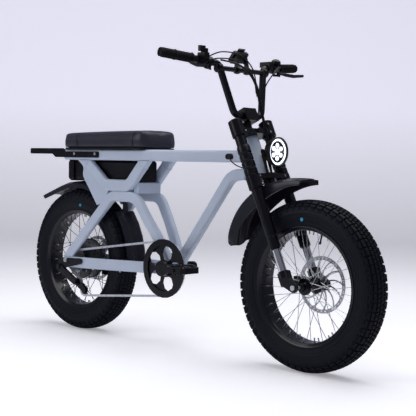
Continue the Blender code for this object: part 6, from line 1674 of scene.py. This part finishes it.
def make_cables():
    """The bundle down the steering head, the hoses and the shift cable, and the rail port's wire."""
    for k, (side, ahead) in enumerate(BUNDLE_OFFSETS):
        route = [at(x + ahead, y + side, z) for x, y, z in BUNDLE_ROUTE]
        nodes = () if k else ("control_cables",)
        cable(f"control_cable_{k + 1}", route, BUNDLE_DIAMETER, "control_cables", nodes=nodes)
    for name, places in HOSE_ROUTES.items():
        cable(name, [at(*p) for p in places], HOSE_DIAMETER, "handlebar")
    wire = cable("port_wire", [at(*p) for p in WIRE_ROUTE], WIRE_DIAMETER, "front_frame")


class BIKE_OT_stage(Operator):
    """Make the floor, the backdrop, the lights and the camera"""

    bl_idname = "bike.stage"
    bl_label = "Stage, light and camera"

    def execute(self, context):
        make_stage(context.scene.bike_stage)
        make_lights(context.scene.bike_stage)
        make_camera()
        return {"FINISHED"}


class BIKE_OT_wheels(Operator):
    """Make tyres with their tread, rims, spokes, hubs and brake discs"""

    bl_idname = "bike.wheels"
    bl_label = "Wheels"

    def execute(self, context):
        make_wheels()
        return {"FINISHED"}


class BIKE_OT_frame(Operator):
    """Make the welded frame, the side frames and the chainstays"""

    bl_idname = "bike.frame"
    bl_label = "Frame"

    def execute(self, context):
        make_frame()
        return {"FINISHED"}


class BIKE_OT_fork(Operator):
    """Make the fork, its crowns, the front fender and the calipers"""

    bl_idname = "bike.fork"
    bl_label = "Fork"

    def execute(self, context):
        make_fork()
        return {"FINISHED"}


class BIKE_OT_seat(Operator):
    """Make the padded saddle, the battery and the tail light"""

    bl_idname = "bike.seat"
    bl_label = "Saddle and battery"

    def execute(self, context):
        make_seat()
        make_battery()
        return {"FINISHED"}


class BIKE_OT_rack(Operator):
    """Make the rack and the rear guards"""

    bl_idname = "bike.rack"
    bl_label = "Rack and guards"

    def execute(self, context):
        make_rack()
        return {"FINISHED"}


class BIKE_OT_drive(Operator):
    """Make the chain, cranks, pedals and shifting parts"""

    bl_idname = "bike.drive"
    bl_label = "Drive"

    def execute(self, context):
        make_drive()
        return {"FINISHED"}


class BIKE_OT_cockpit(Operator):
    """Make the handlebar, its controls and the headlight"""

    bl_idname = "bike.cockpit"
    bl_label = "Handlebar, controls and lamp"

    def execute(self, context):
        make_cockpit()
        return {"FINISHED"}


class BIKE_OT_cables(Operator):
    """Make the control cables and hoses"""

    bl_idname = "bike.cables"
    bl_label = "Cables"

    def execute(self, context):
        make_cables()
        return {"FINISHED"}


# Stage, in metres
FLOOR_BEND_RADIUS, FLOOR_BEND_STEPS = 1.5, 12
BACKDROP_HEIGHT, BACKDROP_WIDTH_SHARE = 9.0, 1.6
BACKDROP_COLOUR_HEIGHT = 1.3
FLOOR_GLOW_SHARE = 0.5
FLOOR_ROUGHNESS, FLOOR_SPECULAR = 0.9, 0.1
SKY_COLOUR = (0.82, 0.85, 1.0)
LIGHT_TARGET = (0.0, 0.0, 0.5)
OVERHEAD_PLACE, OVERHEAD_SIZE = (0.3, 0.4, 3.4), (3.5, 3.5)
SIDE_LIGHT_PLACE, SIDE_LIGHT_SIZE = (-1.6, -3.2, 2.0), (2.4, 1.8)
CAMERA_FAR_LIMIT = 100.0


def floor_mesh(size):
    """A floor that bends up into the backdrop, away from the camera."""
    half = size / 2
    profile = [(-half, 0.0)]
    for k in range(FLOOR_BEND_STEPS + 1):
        angle = math.radians(90) * k / FLOOR_BEND_STEPS
        along = half + FLOOR_BEND_RADIUS * (math.sin(angle) - 1)
        profile.append((along, FLOOR_BEND_RADIUS * (1 - math.cos(angle))))
    profile.append((half, BACKDROP_HEIGHT))
    direction = Vector((-math.sin(CAMERA_YAW), math.cos(CAMERA_YAW), 0.0))
    across = Vector((direction.y, -direction.x, 0.0)) * half * BACKDROP_WIDTH_SHARE
    points, faces = [], []
    for along, up in profile:
        points += [direction * along + across * side + Z_AXIS * up for side in (-1, 1)]
    for k in range(len(profile) - 1):
        faces.append((2 * k, 2 * k + 1, 2 * k + 3, 2 * k + 2))
    mesh = bpy.data.meshes.new("floor")
    mesh.from_pydata(points, [], faces)
    mesh.shade_smooth()
    return mesh


def floor_material(values):
    """Pale floor whose colour and own light change towards the backdrop's upper part."""
    material, tree, shader = nodes_of("floor")
    place = add_node(tree, "ShaderNodeTexCoord")
    split = add_node(tree, "ShaderNodeSeparateXYZ")
    height = add_node(tree, "ShaderNodeMapRange")
    height.inputs["From Max"].default_value = BACKDROP_COLOUR_HEIGHT
    mix = add_node(tree, "ShaderNodeMix")
    mix.data_type = "RGBA"
    mix.inputs["A"].default_value = rgba(values.floor_colour)
    mix.inputs["B"].default_value = rgba(values.backdrop_colour)
    tree.links.new(place.outputs["Object"], split.inputs["Vector"])
    tree.links.new(split.outputs["Z"], height.inputs["Value"])
    tree.links.new(height.outputs["Result"], mix.inputs["Factor"])
    tree.links.new(mix.outputs["Result"], shader.inputs["Base Color"])
    tree.links.new(mix.outputs["Result"], shader.inputs["Emission Color"])
    path = add_node(tree, "ShaderNodeLightPath")
    seen = add_node(tree, "ShaderNodeMath")
    seen.operation = "MULTIPLY"
    glow = add_node(tree, "ShaderNodeMath")
    glow.operation = "MULTIPLY"
    glow.inputs[1].default_value = values.backdrop_glow
    tree.links.new(path.outputs["Is Camera Ray"], seen.inputs[0])
    floor_share = add_node(tree, "ShaderNodeMapRange")
    floor_share.inputs["To Min"].default_value = FLOOR_GLOW_SHARE
    tree.links.new(height.outputs["Result"], floor_share.inputs["Value"])
    tree.links.new(floor_share.outputs["Result"], seen.inputs[1])
    tree.links.new(seen.outputs["Value"], glow.inputs[0])
    tree.links.new(glow.outputs["Value"], shader.inputs["Emission Strength"])
    shader.inputs["Roughness"].default_value = FLOOR_ROUGHNESS
    shader.inputs["Specular IOR Level"].default_value = FLOOR_SPECULAR
    return material


def make_stage(values):
    mesh = floor_mesh(values.floor_size)
    mesh.materials.append(floor_material(values))
    floor = add_object("floor", mesh)


def make_area(name, place, size, power):
    """A large soft light that faces the bike's middle."""
    light = bpy.data.lights.new(name, "AREA")
    light.shape = "RECTANGLE"
    light.size, light.size_y = size
    light.energy = power
    lamp = add_object(name, light)
    lamp.location = place
    lamp.rotation_euler = (Vector(LIGHT_TARGET) - Vector(place)).to_track_quat("-Z", "Y").to_euler()


def make_lights(values):
    world = bpy.data.worlds.new("studio")
    bpy.context.scene.world = world
    world.use_nodes = True
    sky = world.node_tree.nodes["Background"]
    sky.inputs["Color"].default_value = rgba(SKY_COLOUR)
    sky.inputs["Strength"].default_value = values.sky_strength
    make_area("overhead", OVERHEAD_PLACE, OVERHEAD_SIZE, values.key_power)
    make_area("beside_camera", SIDE_LIGHT_PLACE, SIDE_LIGHT_SIZE, values.side_power)


def make_camera():
    camera = bpy.data.cameras.new("camera")
    camera.sensor_width = SENSOR_WIDTH_MM
    camera.lens = CAMERA_FOCUS_PX / PHOTO_WIDTH_PX * SENSOR_WIDTH_MM
    camera.clip_end = CAMERA_FAR_LIMIT
    back = Vector((
        math.sin(CAMERA_YAW) * math.cos(CAMERA_PITCH),
        -math.cos(CAMERA_YAW) * math.cos(CAMERA_PITCH),
        math.sin(CAMERA_PITCH),
    ))
    level = Vector((math.cos(CAMERA_YAW), math.sin(CAMERA_YAW), 0.0))
    upright = back.cross(level)
    right = level * math.cos(CAMERA_ROLL) + upright * math.sin(CAMERA_ROLL)
    up = upright * math.cos(CAMERA_ROLL) - level * math.sin(CAMERA_ROLL)
    rig = add_object("camera", camera)
    rig.matrix_world = Matrix.Translation(CAMERA_PLACE) @ Matrix((right, up, back)).transposed().to_4x4()
    bpy.context.scene.camera = rig
    bpy.context.scene.view_settings.view_transform = "Standard"


class BIKE_PT_panel(Panel):
    """Lists the steps in order"""

    bl_idname = "BIKE_PT_panel"
    bl_label = "Bike"
    bl_space_type = "VIEW_3D"
    bl_region_type = "UI"
    bl_category = "Bike"

    def draw(self, context):
        for step in STEPS:
            self.layout.operator(step.bl_idname)


STEPS = (
    BIKE_OT_stage, BIKE_OT_wheels, BIKE_OT_frame, BIKE_OT_fork, BIKE_OT_seat, BIKE_OT_rack, BIKE_OT_drive,
    BIKE_OT_cockpit, BIKE_OT_cables,
)
CLASSES = (BikeStageSettings, BikeFinishSettings, BikeDetailSettings, *STEPS, BIKE_PT_panel)


def register():
    for kind in CLASSES:
        bpy.utils.register_class(kind)
    bpy.types.Scene.bike_stage = PointerProperty(type=BikeStageSettings)
    bpy.types.Scene.bike_finish = PointerProperty(type=BikeFinishSettings)
    bpy.types.Scene.bike_detail = PointerProperty(type=BikeDetailSettings)


def unregister():
    del bpy.types.Scene.bike_detail
    del bpy.types.Scene.bike_finish
    del bpy.types.Scene.bike_stage
    for kind in reversed(CLASSES):
        bpy.utils.unregister_class(kind)


def main():
    register()
    for thing in [o for o in bpy.data.objects if o.name in ("Cube", "Light", "Camera")]:
        bpy.data.objects.remove(thing)
    for step in STEPS:
        group, name = step.bl_idname.split(".")
        getattr(getattr(bpy.ops, group), name)()


if __name__ == "__main__":
    main()
